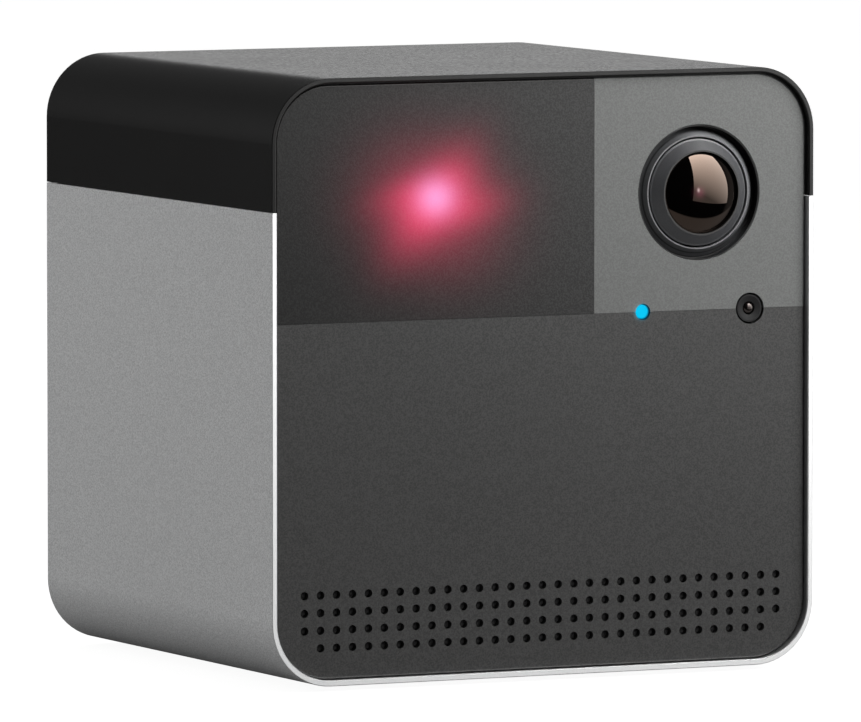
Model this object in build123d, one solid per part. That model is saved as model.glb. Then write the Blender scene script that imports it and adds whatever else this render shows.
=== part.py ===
"""Cube-shaped pet camera with a steerable laser toy, modelled as a bench assembly.

Frame: millimetres, +Z up, the front faces -Y, and the origin is the centre of the
rubber pad's underside. Heights are counted from the pad's underside.
"""

from build123d import *
import math
import os

# ------------------------------------------------------------ outer body
body_width = 91.4
body_height = 91.4
body_depth = 82.0
corner_radius = 9.7
pad_thickness = 0.8
wrap_wall = 0.88
cover_wall = 1.6
lip_wall = 0.74
cover_side_height = 19.9
split_gap = 0.12
skirt_height = 3.0
skirt_clearance = 0.15
shell_clearance = 0.2
rim_chamfer = 0.16
rim_edge_break = 0.1
cut_margin = 1.0

body_bottom = pad_thickness
body_top = body_bottom + body_height
body_middle = body_bottom + body_height / 2
body_front = -body_depth / 2
body_back = body_depth / 2
body_side = body_width / 2
split_height = body_top - cover_side_height

# ------------------------------------------------------------ front panels
front_recess = 1.0
panel_thickness = 2.0
panel_gap = 0.14
panel_edge_round = 0.3
seam_gap = 0.04
camera_panel_width = 37.0
camera_panel_height = 36.82
carrier_thickness = 2.0

panel_front = body_front + front_recess
panel_back = panel_front + panel_thickness
carrier_back = panel_back + carrier_thickness
panel_inset = wrap_wall + panel_gap
panel_side = body_side - panel_inset
panel_top = body_top - panel_inset
seam_x = body_side - camera_panel_width
seam_z = body_top - camera_panel_height

# perforations over the speaker: the lowest row has no hole at either end
hole_rows = 4
hole_pitch = 2.66
holes_from_side = 4.8
hole_radius = 0.64
lowest_row_height = 5.7
lowest_row_z = body_bottom + lowest_row_height
hole_columns = 2 * round((panel_side - holes_from_side) / hole_pitch) + 1
grid_half_width = (hole_columns - 1) * hole_pitch / 2
grid_height = (hole_rows - 1) * hole_pitch
grid_z = lowest_row_z + grid_height / 2
grille_skin = 1.2
mesh_thickness = 0.25
mesh_margin = 1.6
mesh_front = panel_front + grille_skin
mesh_half_width = grid_half_width + mesh_margin
mesh_height = grid_height + 2 * mesh_margin

# ------------------------------------------------------------ lens
lens_from_side = 19.15
lens_from_top = 18.9
lens_hole_radius = 10.35
lens_hole_chamfer = 0.05
trim_clearance = 0.08
lens_ring_radius = 8.15
lens_lip_radius = 6.5
lens_glass_radius = 6.24
lens_ring_depth = 0.5
lens_lip_proud = 0.95
dome_radius = 10.5
dome_seat_depth = 0.5
dome_rim_depth = 2.0
lens_ring_bevel = 0.25
lens_ring_bevel_depth = 0.12
barrel_thread_radius = 6.0
barrel_bore_radius = 5.4
barrel_neck_radius = 7.0
barrel_length = 19.2
barrel_thread_length = 5.2
barrel_shoulder_start = 1.5
barrel_shoulder_end = 3.0
barrel_back_lip = 0.6
barrel_back_lip_depth = 1.0
dome_ledge = 0.7
dome_ledge_depth = 0.8
trim_lip_depth = 0.35
trim_lip_width = 0.2
trim_floor_depth = 1.6
trim_floor_width = 0.2
trim_wall = 0.12
trim_wall_recess = 0.08
trim_inner_gap = 0.3
lens_x = body_side - lens_from_side
lens_z = body_top - lens_from_top
lens_ring_front = panel_front + lens_ring_depth
lens_lip_front = panel_front - lens_lip_proud

# ------------------------------------------------------------ small front openings
led_from_lens = 9.52
led_radius = 1.1
led_hole_radius = 1.25
sensor_from_lens = 8.75
sensor_radius = 2.1
sensor_hole_radius = 2.4
sensor_lens_radius = 1.0
led_x = lens_x - led_from_lens
sensor_x = lens_x + sensor_from_lens

# ------------------------------------------------------------ laser pointer
laser_x = (seam_x - panel_side) / 2
laser_z = (seam_z + panel_top) / 2
pivot_behind_window = 13.7
pivot_y = panel_back + pivot_behind_window
tilt_up_limit = 15.0
tilt_down_limit = 35.0
gear_module = 0.4
pinion_teeth = 12
pan_gear_teeth = 36
tilt_gear_teeth = 48
gear_thickness = 2.6
pinion_thickness = 2.2
pan_centres = gear_module * (pan_gear_teeth + pinion_teeth) / 2
tilt_centres = gear_module * (tilt_gear_teeth + pinion_teeth) / 2
pressure_angle = math.radians(25)
tooth_addendum = 0.8 * gear_module
tooth_dedendum = 1.05 * gear_module
tooth_backlash = 0.06
flank_steps = 4

# ------------------------------------------------------------ chassis
chassis_wall = 1.6
chassis_floor = 2.4
shelf_below_seam = 3.2
shelf_thickness = 1.6
partition_thickness = 1.6
partition_back = -8.0
shelf_back = 24.0
weld = 0.5
boss_length = 12.0
boss_pilot_depth = 10.0
shelf_motor_clearance = 0.4
rear_recess = 1.3
rear_gap = 0.3
rear_thickness = 2.5
boss_radius = 3.3
screw_radius = 0.95
pilot_clearance = 0.05
screw_head_radius = 1.9
screw_head_height = 1.2
screw_head_bevel = 0.25
cross_length = 2.0
cross_width = 0.4
cross_depth = 0.5
flush_clearance = 0.02

chassis_inset_low = wrap_wall + shell_clearance
chassis_inset_high = cover_wall + shell_clearance
chassis_inner_inset = chassis_inset_high + chassis_wall
chassis_front = carrier_back
rear_outside = body_back - rear_recess
rear_inside = rear_outside - rear_thickness
inner_side = body_side - chassis_inner_inset
floor_top = body_bottom + chassis_inset_low + chassis_floor
ceiling = body_top - chassis_inner_inset
shelf_top = seam_z - shelf_below_seam
shelf_bottom = shelf_top - shelf_thickness

# ------------------------------------------------------------ helpers


def depth_plane(y):
    """Plane facing the front at depth y, with local x across and local y up."""
    return Plane(origin=(0, y, 0), x_dir=(1, 0, 0), z_dir=(0, -1, 0))


def along_depth(sketch, front, back, x=0.0, z=0.0):
    """Extrudes a sketch drawn as seen from the front, between two depths."""
    return extrude(depth_plane(back) * Pos(x, z) * sketch, back - front)


def along_height(sketch, low, high, x=0.0, y=0.0):
    """Extrudes a sketch drawn as seen from above, between two heights."""
    return extrude(Plane.XY.offset(low) * Pos(x, y) * sketch, high - low)


def along_width(sketch, left, right, y=0.0, z=0.0):
    """Extrudes a sketch of (depth, height) sideways, between two x values."""
    side = Plane(origin=(left, 0, 0), x_dir=(0, 1, 0), z_dir=(1, 0, 0))
    return extrude(side * Pos(y, z) * sketch, right - left)


def rounded(width, height, radius):
    """Rounded rectangle whose corner radius always fits its sides."""
    return RectangleRounded(width, height, min(radius, 0.499 * min(width, height)))


def body_outline(inset):
    """The body's front outline, taken in by inset all round."""
    return rounded(body_width - 2 * inset, body_height - 2 * inset, corner_radius - inset)


def body_slab(inset, front, back):
    """A slab with the body's outline taken in by inset."""
    return along_depth(body_outline(inset), front, back, z=body_middle)


def cuboid(x, y, z):
    """A box from three (low, high) pairs."""
    return Pos((x[0] + x[1]) / 2, (y[0] + y[1]) / 2, (z[0] + z[1]) / 2) * Box(
        x[1] - x[0], y[1] - y[0], z[1] - z[0]
    )


def above(height):
    """Everything of the body's reach above a height."""
    reach = 2 * body_width
    return cuboid((-reach, reach), (-reach, reach), (height, height + reach))


def below(height):
    """Everything of the body's reach below a height."""
    reach = 2 * body_width
    return cuboid((-reach, reach), (-reach, reach), (height - reach, height))


def turned(points, x, z):
    """Turns a closed outline of (radius, depth) points about a front-to-back axis."""
    half = Plane(origin=(x, 0, z), x_dir=(1, 0, 0), z_dir=(0, 0, 1))
    return revolve(half * Polygon(*points, align=None), Axis((x, 0, z), (0, 1, 0)))


def turned_upright(points, x, y):
    """Turns a closed outline of (radius, height) points about an upright axis."""
    half = Plane(origin=(x, y, 0), x_dir=(1, 0, 0), z_dir=(0, -1, 0))
    return revolve(half * Polygon(*points, align=None), Axis((x, y, 0), (0, 0, 1)))


def cap_depth(ball_radius, radius):
    """How far a ball's cap of that rim radius stands out."""
    return ball_radius - math.sqrt(ball_radius**2 - radius**2)


def bulge_arc(pole, rim_radius, rim_depth):
    """Arc of (radius, depth) from a pole on the axis to a rim."""
    bulge = rim_depth - pole
    ball = (rim_radius**2 + bulge**2) / (2 * abs(bulge))
    half = math.asin(rim_radius / ball) / 2
    middle_depth = pole + math.copysign(ball * (1 - math.cos(half)), bulge)
    return ThreePointArc((0, pole), (ball * math.sin(half), middle_depth), (rim_radius, rim_depth))


def turned_lens(x, z, radius, front_pole, front, back, back_pole, back_radius):
    """Lens about a front-to-back axis; its back face is curved within back_radius."""
    outline = [
        Line((0, back_pole), (0, front_pole)),
        bulge_arc(front_pole, radius, front),
        Line((radius, front), (radius, back)),
        bulge_arc(back_pole, back_radius, back),
    ]
    if back_radius < radius:
        outline.append(Line((radius, back), (back_radius, back)))
    half = Plane(origin=(x, 0, z), x_dir=(1, 0, 0), z_dir=(0, 0, 1))
    return revolve(half * make_face(outline), Axis((x, 0, z), (0, 1, 0)))


def tapered_rim(inset, y_rim, inward):
    """Cutter that bevels a rim's inner edge; inward is +1 at the front and -1 at the back."""
    wide = depth_plane(y_rim) * Pos(0, body_middle) * body_outline(inset - rim_chamfer)
    deep = depth_plane(y_rim + inward * rim_chamfer) * Pos(0, body_middle) * body_outline(inset)
    return loft([wide.face(), deep.face()])


def outer_edge_break(solid):
    """Breaks the sharp outer edges of the front and back rims."""
    picked = [
        edge
        for edge in solid.edges()
        if min(abs(edge.center().Y - body_front), abs(edge.center().Y - body_back)) < 1e-3
        and on_outline(edge.center(), 0.0)
    ]
    return chamfer(ShapeList(picked), rim_edge_break)


def on_outline(point, inset):
    """True if a point lies on the body's outline taken in by inset."""
    half_w, half_h = body_width / 2 - inset, body_height / 2 - inset
    radius = corner_radius - inset
    dx = max(abs(point.X) - (half_w - radius), 0.0)
    dz = max(abs(point.Z - body_middle) - (half_h - radius), 0.0)
    if dx > 0 and dz > 0:
        return radius - math.hypot(dx, dz) < 0.35 * radius and abs(math.hypot(dx, dz) - radius) < 0.05
    return max(dx, dz) > radius - 0.05


def screw(length):
    """Pan-head screw along -Z with a cross recess: the head's underside is at the origin."""
    shank = Pos(0, 0, -length / 2) * Cylinder(screw_radius, length)
    head = Pos(0, 0, screw_head_height / 2) * Cylinder(screw_head_radius, screw_head_height)
    head = chamfer(head.edges().group_by(Axis.Z)[-1], screw_head_bevel)
    slot = Pos(0, 0, screw_head_height) * Box(cross_length, cross_width, 2 * cross_depth)
    return shank + head - slot - Rot(0, 0, 90) * slot


def facing_front(shape, x, y, z):
    """Places an upright shape so that its top faces the front."""
    return Pos(x, y, z) * Rot(90, 0, 0) * shape


def facing_back(shape, x, y, z):
    """Places an upright shape so that its top faces the back."""
    return Pos(x, y, z) * Rot(-90, 0, 0) * shape


def screw_pilot():
    """Radius of the hole that a screw's shank stands in."""
    return screw_radius + pilot_clearance


def joined(shapes):
    """One compound of separate solids, such as a set of identical fasteners."""
    return Compound(children=[part for shape in shapes for part in shape.solids()])


parts = {}


def keep(name, shape):
    """Names a finished sub-part."""
    parts[name] = shape
    return shape


# ------------------------------------------------------------ gears


def involute(angle):
    return math.tan(angle) - angle


def polar(radius, angle):
    return (radius * math.cos(angle), radius * math.sin(angle))


def tooth_side(teeth):
    """(radius, half angle) pairs of one tooth flank, from its root to its tip."""
    pitch = gear_module * teeth / 2
    base = pitch * math.cos(pressure_angle)
    root, tip = pitch - tooth_dedendum, pitch + tooth_addendum
    half_at_pitch = (math.pi * gear_module / 2 - tooth_backlash) / (2 * pitch)
    start = max(base, root)
    side = []
    for step in range(flank_steps + 1):
        radius = start + (tip - start) * step / flank_steps
        slant = math.acos(min(1.0, base / radius))
        side.append((radius, half_at_pitch + involute(pressure_angle) - involute(slant)))
    if root < base:
        side.insert(0, (root, side[0][1]))
    return side


def teeth_outline(teeth, numbers, turn=0.0):
    """Points along the given tooth numbers, counter-clockwise; tooth 0 points along local x."""
    side = tooth_side(teeth)
    points = []
    for number in numbers:
        middle = turn + 2 * math.pi * number / teeth
        points += [polar(radius, middle - half) for radius, half in side]
        points += [polar(radius, middle + half) for radius, half in reversed(side)]
    return points


def gear_sketch(teeth, turn=0.0):
    return Polygon(*teeth_outline(teeth, range(teeth), turn), align=None)


# ------------------------------------------------------------ shells

tripod_hole_radius = 2.6
tripod_depth = 7.0
tripod_insert_radius = 5.5
tripod_insert_height = 8.0
tripod_boss_radius = 8.5
pad_width = 54.0
pad_depth = 50.0
pad_corner = 8.0
pad_hole_radius = 8.0
pad_bevel = 0.25
base_screw_x = 20.0
base_screw_rows = (-9.0, 21.0)
base_screw_length = 5.0
base_boss_radius = 2.8
base_boss_height = 4.0
base_head_radius = 1.9
base_head_clearance = 0.1


def base_screw_places():
    return [(side * base_screw_x, y) for side in (-1, 1) for y in base_screw_rows]


def countersink(x, y, clearance):
    """Cone through the wrap's wall under a flat screw head."""
    top = body_bottom + wrap_wall
    return turned_upright(
        [
            (0, body_bottom),
            (base_head_radius + clearance, body_bottom),
            (screw_radius + clearance, top),
            (0, top),
        ],
        x,
        y,
    )


def make_lower_wrap():
    shell = body_slab(0, body_front, body_back)
    shell -= body_slab(wrap_wall, body_front, body_back)
    shell -= tapered_rim(wrap_wall, body_front, 1)
    shell -= tapered_rim(wrap_wall, body_back, -1)
    shell -= above(split_height - split_gap / 2)
    shell = outer_edge_break(shell)
    floor_reach = (body_bottom - cut_margin, body_bottom + 2 * wrap_wall)
    shell -= along_height(Circle(tripod_insert_radius + shell_clearance), *floor_reach)
    for x, y in base_screw_places():
        shell -= countersink(x, y, base_head_clearance)
    return keep("lower_wrap", shell)


def make_top_cover():
    lip = body_slab(0, body_front, body_back) - body_slab(lip_wall, body_front, body_back)
    lip -= tapered_rim(lip_wall, body_front, 1)
    lip -= tapered_rim(lip_wall, body_back, -1)
    lip -= below(split_height + split_gap / 2)
    lip = outer_edge_break(lip)
    liner_reach = (carrier_back + shell_clearance, rear_inside - shell_clearance)
    liner = body_slab(lip_wall, *liner_reach) - body_slab(cover_wall, *liner_reach)
    liner -= below(split_height + split_gap / 2)
    skirt_outside = wrap_wall + skirt_clearance
    skirt = body_slab(skirt_outside, *liner_reach) - body_slab(cover_wall, *liner_reach)
    skirt -= below(split_height - skirt_height)
    skirt -= above(split_height + split_gap)
    return keep("top_cover", lip + liner + skirt)


def make_base_pad():
    pad = along_height(rounded(pad_width, pad_depth, pad_corner), 0, pad_thickness)
    pad -= along_height(Circle(pad_hole_radius), 0, pad_thickness)
    pad = chamfer(pad.faces().sort_by(Axis.Z)[0].outer_wire().edges(), pad_bevel)
    return keep("base_pad", pad)


def make_tripod_insert():
    low = body_bottom
    insert = along_height(Circle(tripod_insert_radius), low, low + tripod_insert_height)
    insert -= along_height(Circle(tripod_hole_radius), low, low + tripod_depth)
    return keep("tripod_insert", insert)


def make_base_screws():
    seat = body_bottom + chassis_inset_low
    screws = []
    for x, y in base_screw_places():
        shank = along_height(Circle(screw_radius), body_bottom, seat + base_screw_length, x, y)
        screws.append(shank + countersink(x, y, 0))
    return keep("base_screws", joined(screws))


# ------------------------------------------------------------ front panels


def panel_slab():
    """The whole inset front, before the seams part it."""
    slab = body_slab(panel_inset, panel_front, panel_back)
    rim = slab.faces().sort_by(Axis.Y)[0].outer_wire().edges()
    return fillet(rim, panel_edge_round)


def small_front_holes():
    reach = (panel_front - cut_margin, panel_back + cut_margin)
    led = along_depth(Circle(led_hole_radius), *reach, led_x, seam_z)
    sensor = along_depth(Circle(sensor_hole_radius), *reach, sensor_x, seam_z)
    return led + sensor


def hole_places():
    """Centres of the perforations; the lowest row is one hole shorter at each end."""
    places = []
    for row in range(hole_rows):
        ends = 1 if row == 0 else 0
        for column in range(ends, hole_columns - ends):
            x = -grid_half_width + column * hole_pitch
            places.append((x, lowest_row_z + row * hole_pitch))
    return places


def make_speaker_grille():
    grille = panel_slab() - above(seam_z - seam_gap / 2) - small_front_holes()
    holes = Sketch() + [Pos(x, z) * Circle(hole_radius) for x, z in hole_places()]
    grille -= along_depth(holes, panel_front - cut_margin, panel_back + cut_margin)
    pocket = rounded(2 * mesh_half_width, mesh_height, mesh_margin)
    grille -= along_depth(pocket, mesh_front, panel_back + cut_margin, z=grid_z)
    return keep("speaker_grille", grille)


def make_laser_window():
    reach = 2 * body_width
    window = panel_slab() - below(seam_z + seam_gap / 2)
    window -= cuboid((seam_x - seam_gap / 2, reach), (-reach, reach), (-reach, reach))
    return keep("laser_window", window)


def make_camera_panel():
    reach = 2 * body_width
    panel = panel_slab() - below(seam_z + seam_gap / 2) - small_front_holes()
    panel -= cuboid((-reach, seam_x + seam_gap / 2), (-reach, reach), (-reach, reach))
    panel -= turned(
        [
            (0, panel_front - cut_margin),
            (lens_hole_radius + lens_hole_chamfer + cut_margin, panel_front - cut_margin),
            (lens_hole_radius, panel_front + lens_hole_chamfer),
            (lens_hole_radius, panel_back + cut_margin),
            (0, panel_back + cut_margin),
        ],
        lens_x,
        lens_z,
    )
    return keep("camera_panel", panel)


# ------------------------------------------------------------ front carrier

port_margin = 3.0
port_top_margin = 1.0
port_from_side = 12.2
port_radius = 3.0
lens_port_radius = 9.0
speaker_slot_margin = 2.5
mic_port_radius = 0.75
mic_from_side = 4.2
top_boss_from_side = 6.7
top_boss_from_top = 7.7
low_boss_from_side = 6.1
low_boss_height = 21.0
carrier_screw_length = 9.0
post_radius = 2.0
camera_post_x = 11.5
camera_post_z = 8.2
camera_pilot_depth = 6.0
speaker_pilot_skin = 0.3
board_standoff = 1.2
front_post_radius = 1.2

port_left = panel_side - port_from_side
port_right = seam_x - port_margin
port_low = seam_z + port_margin
port_high = ceiling - port_top_margin
top_boss_x = body_side - top_boss_from_side
top_boss_z = body_top - top_boss_from_top
low_boss_x = body_side - low_boss_from_side
low_boss_z = body_bottom + low_boss_height
boss_places = [
    (-top_boss_x, top_boss_z),
    (top_boss_x, top_boss_z),
    (-low_boss_x, low_boss_z),
    (low_boss_x, low_boss_z),
]
front_board_width = 29.0
front_board_height = 7.0
front_board_thickness = 1.0
front_board_margin = 5.0
front_post_inset = 1.5
board_shelf_gap = 0.4
front_board_left = led_x - front_board_margin
front_board_low = shelf_top + board_shelf_gap
front_board_front = carrier_back + board_standoff
front_post_z = front_board_low + front_board_height - front_post_inset
front_post_places = [
    (front_board_left + front_post_inset, front_post_z),
    (front_board_left + front_board_width - front_post_inset, front_post_z),
]
camera_board_thickness = 1.2
lens_to_board = 24.6
camera_board_front = lens_ring_front + lens_to_board
camera_posts = [
    (lens_x - camera_post_x, lens_z + camera_post_z),
    (lens_x + camera_post_x, lens_z - camera_post_z),
]
speaker_width = 44.0
speaker_height = 19.4
chamber_margin = 0.4
chamber_floor_gap = 0.3
speaker_z = floor_top + chamber_floor_gap + chamber_margin + speaker_height / 2
gasket_thickness = 0.8
flange_thickness = 1.0
speaker_flange_back = carrier_back + gasket_thickness + flange_thickness
speaker_ear_gap = 4.5
speaker_ear_x = speaker_width / 2 + speaker_ear_gap
speaker_slot_width = speaker_width - 2 * speaker_slot_margin
mic_x = (speaker_ear_x + body_side - mic_from_side) / 2
speaker_post_radius = 2.4


def make_front_carrier():
    carrier = body_slab(wrap_wall + shell_clearance, panel_back, carrier_back)
    port = rounded(port_right + port_left, port_high - port_low, port_radius)
    carrier -= along_depth(
        port,
        panel_back,
        carrier_back,
        (port_right - port_left) / 2,
        (port_high + port_low) / 2,
    )
    carrier -= along_depth(Circle(lens_port_radius), panel_back, carrier_back, lens_x, lens_z)
    carrier -= along_depth(Circle(led_hole_radius), panel_back, carrier_back, led_x, seam_z)
    carrier -= along_depth(
        Circle(sensor_hole_radius), panel_back, carrier_back, sensor_x, seam_z
    )
    slot = rounded(speaker_slot_width, grid_height + mesh_margin, mesh_margin)
    carrier -= along_depth(slot, panel_back, carrier_back, z=grid_z)
    for side in (-1, 1):
        carrier -= along_depth(
            Circle(mic_port_radius), panel_back, carrier_back, side * mic_x, grid_z
        )
        carrier += along_depth(
            Circle(speaker_post_radius),
            carrier_back,
            speaker_flange_back,
            side * speaker_ear_x,
            speaker_z,
        )
        carrier -= along_depth(
            Circle(screw_pilot()),
            panel_back + speaker_pilot_skin,
            speaker_flange_back,
            side * speaker_ear_x,
            speaker_z,
        )
    for x, z in boss_places:
        carrier -= along_depth(
            Circle(screw_head_radius + shell_clearance),
            panel_back,
            panel_back + screw_head_height,
            x,
            z,
        )
        carrier -= along_depth(Circle(screw_pilot()), panel_back, carrier_back, x, z)
    for x, z in camera_posts:
        carrier += along_depth(Circle(post_radius), carrier_back, camera_board_front, x, z)
        carrier -= along_depth(
            Circle(screw_pilot()),
            camera_board_front - camera_pilot_depth,
            camera_board_front,
            x,
            z,
        )
    for x, z in front_post_places:
        carrier += along_depth(
            Circle(front_post_radius), carrier_back, front_board_front, x, z
        )
    return keep("front_carrier", carrier)


def make_carrier_screws():
    seat = panel_back + screw_head_height
    return keep(
        "carrier_screws",
        joined([facing_front(screw(carrier_screw_length), x, seat, z) for x, z in boss_places]),
    )


def make_acoustic_mesh():
    sheet = rounded(
        2 * (mesh_half_width - flush_clearance), mesh_height - 2 * flush_clearance, mesh_margin
    )
    return keep(
        "acoustic_mesh", along_depth(sheet, mesh_front, mesh_front + mesh_thickness, z=grid_z)
    )


# ------------------------------------------------------------ camera

mount_outside_radius = 7.2
mount_block_width = 26.0
mount_block_height = 10.4
mount_end_gap = 0.2
mount_socket_overlap = 0.8
filter_after_barrel = 1.2
filter_length = 15.5
filter_height = 7.6
filter_thickness = 0.8
filter_window_radius = 2.8
filter_travel = 6.8
filter_clearance = 0.1
filter_glass_inset = 0.2
filter_slot_wall = 0.4
light_path_margin = 0.4
chip_clearance = 0.3
sensor_chip_thickness = 1.2
sensor_chip_width = 9.0
sensor_chip_height = 7.0
camera_board_width = 27.6
camera_board_height = 20.8
camera_board_corner = 1.0
camera_plug_width = 12.0
camera_plug_height = 3.0
camera_plug_depth = 1.6
camera_plug_above = 6.5
element_seats = (3.4, 8.4, 13.6)
element_thickness = 2.6
element_ball = 14.0
dome_hollow_ball = 6.0

dome_base = lens_lip_front + dome_seat_depth
dome_sagitta = dome_radius - math.sqrt(dome_radius**2 - lens_glass_radius**2)
dome_apex = dome_base - dome_sagitta
dome_seat = dome_base + dome_rim_depth
trim_radius = lens_hole_radius - trim_clearance
barrel_back = lens_ring_front + barrel_length
mount_front = barrel_back - barrel_thread_length
mount_shoulder = barrel_back + mount_end_gap
filter_front = barrel_back + filter_after_barrel


def make_lens_trim():
    """Black ring around the lens, falling from its inner lip to the panel's hole."""
    gap_radius = lens_ring_radius + trim_inner_gap
    lip = panel_front + trim_lip_depth
    floor = panel_front + trim_floor_depth
    profile = [
        (gap_radius, lip),
        (gap_radius + trim_lip_width, lip),
        (trim_radius - trim_wall - trim_floor_width, floor),
        (trim_radius - trim_wall, floor),
        (trim_radius - trim_wall, panel_front + trim_wall_recess),
        (trim_radius, panel_front + trim_wall_recess),
        (trim_radius, panel_back),
        (gap_radius, panel_back),
    ]
    return keep("lens_trim", turned(profile, lens_x, lens_z))


def make_lens_barrel():
    glass_hole = lens_glass_radius + flush_clearance
    neck_end = mount_front - 2 * mount_end_gap
    ledge_radius = barrel_bore_radius - dome_ledge
    lip_radius = barrel_bore_radius - barrel_back_lip
    lip_start = barrel_back - barrel_back_lip_depth
    profile = [
        (glass_hole, lens_lip_front),
        (lens_lip_radius, lens_lip_front),
        (lens_ring_radius - lens_ring_bevel, lens_ring_front - lens_ring_bevel_depth),
        (lens_ring_radius, lens_ring_front),
        (lens_ring_radius, carrier_back + barrel_shoulder_start),
        (barrel_neck_radius, carrier_back + barrel_shoulder_end),
        (barrel_neck_radius, neck_end),
        (barrel_thread_radius, neck_end),
        (barrel_thread_radius, barrel_back),
        (lip_radius, barrel_back),
        (lip_radius, lip_start),
        (barrel_bore_radius, lip_start),
        (barrel_bore_radius, dome_seat + dome_ledge_depth),
        (ledge_radius, dome_seat + dome_ledge_depth),
        (ledge_radius, dome_seat),
        (glass_hole, dome_seat),
    ]
    return keep("lens_barrel", turned(profile, lens_x, lens_z))


def make_lens_dome():
    """Bulging front glass: a meniscus with its rim in the barrel's seat."""
    hollow_rim = barrel_bore_radius - dome_ledge
    hollow_apex = dome_seat - cap_depth(dome_hollow_ball, hollow_rim)
    return keep(
        "lens_dome",
        turned_lens(
            lens_x,
            lens_z,
            lens_glass_radius,
            dome_apex,
            dome_base,
            dome_seat,
            hollow_apex,
            hollow_rim,
        ),
    )


def make_lens_elements():
    radius = barrel_bore_radius - flush_clearance
    bulge = cap_depth(element_ball, radius)
    elements = []
    for seat in element_seats:
        front = dome_seat + seat
        back = front + element_thickness
        elements.append(
            turned_lens(
                lens_x, lens_z, radius, front, front + bulge, back - bulge, back, radius
            )
        )
    return keep("lens_elements", joined(elements))


def make_lens_mount():
    mount = along_depth(
        Circle(mount_outside_radius),
        mount_front,
        mount_shoulder + mount_socket_overlap,
        lens_x,
        lens_z,
    )
    block = Rectangle(mount_block_width, mount_block_height)
    mount += along_depth(block, mount_shoulder, camera_board_front, lens_x, lens_z)
    mount -= along_depth(
        Circle(barrel_thread_radius + flush_clearance), mount_front, mount_shoulder, lens_x, lens_z
    )
    slot_front = filter_front - filter_clearance
    slot_back = filter_front + filter_thickness + filter_clearance
    slot_half = filter_height / 2 + filter_clearance
    slot_left = lens_x - filter_travel / 2 - filter_length / 2 - filter_clearance
    mount -= cuboid(
        (slot_left, lens_x + mount_block_width),
        (slot_front, slot_back),
        (lens_z - slot_half, lens_z + slot_half),
    )
    light_path = Circle(filter_window_radius + light_path_margin)
    pocket_front = slot_back + filter_slot_wall
    mount -= along_depth(light_path, mount_shoulder - cut_margin, pocket_front, lens_x, lens_z)
    pocket = Rectangle(
        sensor_chip_width + 2 * chip_clearance, sensor_chip_height + 2 * chip_clearance
    )
    mount -= along_depth(pocket, pocket_front, camera_board_front, lens_x, lens_z)
    return keep("lens_mount", mount)


def make_filter_slide():
    """Two-window frame that carries the infrared-cut glass and the clear glass."""
    centre = lens_x - filter_travel / 2
    back = filter_front + filter_thickness
    frame = along_depth(
        rounded(filter_length, filter_height, 0.8), filter_front, back, centre, lens_z
    )
    glasses = []
    for side in (-1, 1):
        x = centre + side * filter_travel / 2
        frame -= along_depth(Circle(filter_window_radius), filter_front, back, x, lens_z)
        glasses.append(
            along_depth(
                Circle(filter_window_radius - flush_clearance),
                filter_front + filter_glass_inset,
                back - filter_glass_inset,
                x,
                lens_z,
            )
        )
    return keep("filter_slide", joined([frame, *glasses]))


def make_camera_board():
    board_back = camera_board_front + camera_board_thickness
    board = along_depth(
        rounded(camera_board_width, camera_board_height, camera_board_corner),
        camera_board_front,
        board_back,
        lens_x,
        lens_z,
    )
    for x, z in camera_posts:
        board -= along_depth(Circle(screw_pilot()), camera_board_front, board_back, x, z)
    connector = along_depth(
        Rectangle(camera_plug_width, camera_plug_height),
        board_back,
        board_back + camera_plug_depth,
        lens_x,
        lens_z + camera_plug_above,
    )
    return keep("camera_board", joined([board, connector]))


def make_image_sensor():
    return keep(
        "image_sensor",
        along_depth(
            Rectangle(sensor_chip_width, sensor_chip_height),
            camera_board_front - sensor_chip_thickness,
            camera_board_front,
            lens_x,
            lens_z,
        ),
    )


# ------------------------------------------------------------ status light and light sensor

pipe_recess = 0.15
pipe_flange = 0.9
small_flange = 0.8
flange_depth = 0.5
pipe_chip_gap = 0.1
pipe_round = 0.2
front_chip_width = 2.0
front_chip_height = 1.6
front_chip_depth = 0.6
bezel_recess = 0.15
bezel_rim = 0.25
bezel_dish = 0.4
sensor_lens_recess = 0.1
sensor_lens_round = 0.85
flange_front = carrier_back + flush_clearance
flange_back = carrier_back + flange_depth


def make_status_light_pipe():
    back = front_board_front - front_chip_depth - pipe_chip_gap
    pipe = along_depth(Circle(led_radius), panel_front + pipe_recess, back, led_x, seam_z)
    pipe += along_depth(
        Circle(led_radius + pipe_flange), flange_front, flange_back, led_x, seam_z
    )
    rim = pipe.edges().group_by(Axis.Y)[0]
    return keep("status_light_pipe", fillet(rim, pipe_round))


def make_light_sensor_bezel():
    """Dished ring around the light sensor's lens."""
    bore = sensor_lens_radius + flush_clearance
    front = panel_front + bezel_recess
    profile = [
        (bore, panel_front + bezel_dish),
        (sensor_radius - bezel_rim, front),
        (sensor_radius, front),
        (sensor_radius, flange_front),
        (sensor_radius + small_flange, flange_front),
        (sensor_radius + small_flange, flange_back),
        (bore, flange_back),
    ]
    return keep("light_sensor_bezel", turned(profile, sensor_x, seam_z))


def make_light_sensor_lens():
    front = panel_front + sensor_lens_recess
    rod = along_depth(Circle(sensor_lens_radius), front, flange_back, sensor_x, seam_z)
    rim = rod.edges().group_by(Axis.Y)[0]
    nose = min(sensor_lens_round, 0.9 * sensor_lens_radius)
    return keep("light_sensor_lens", fillet(rim, nose))


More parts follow.
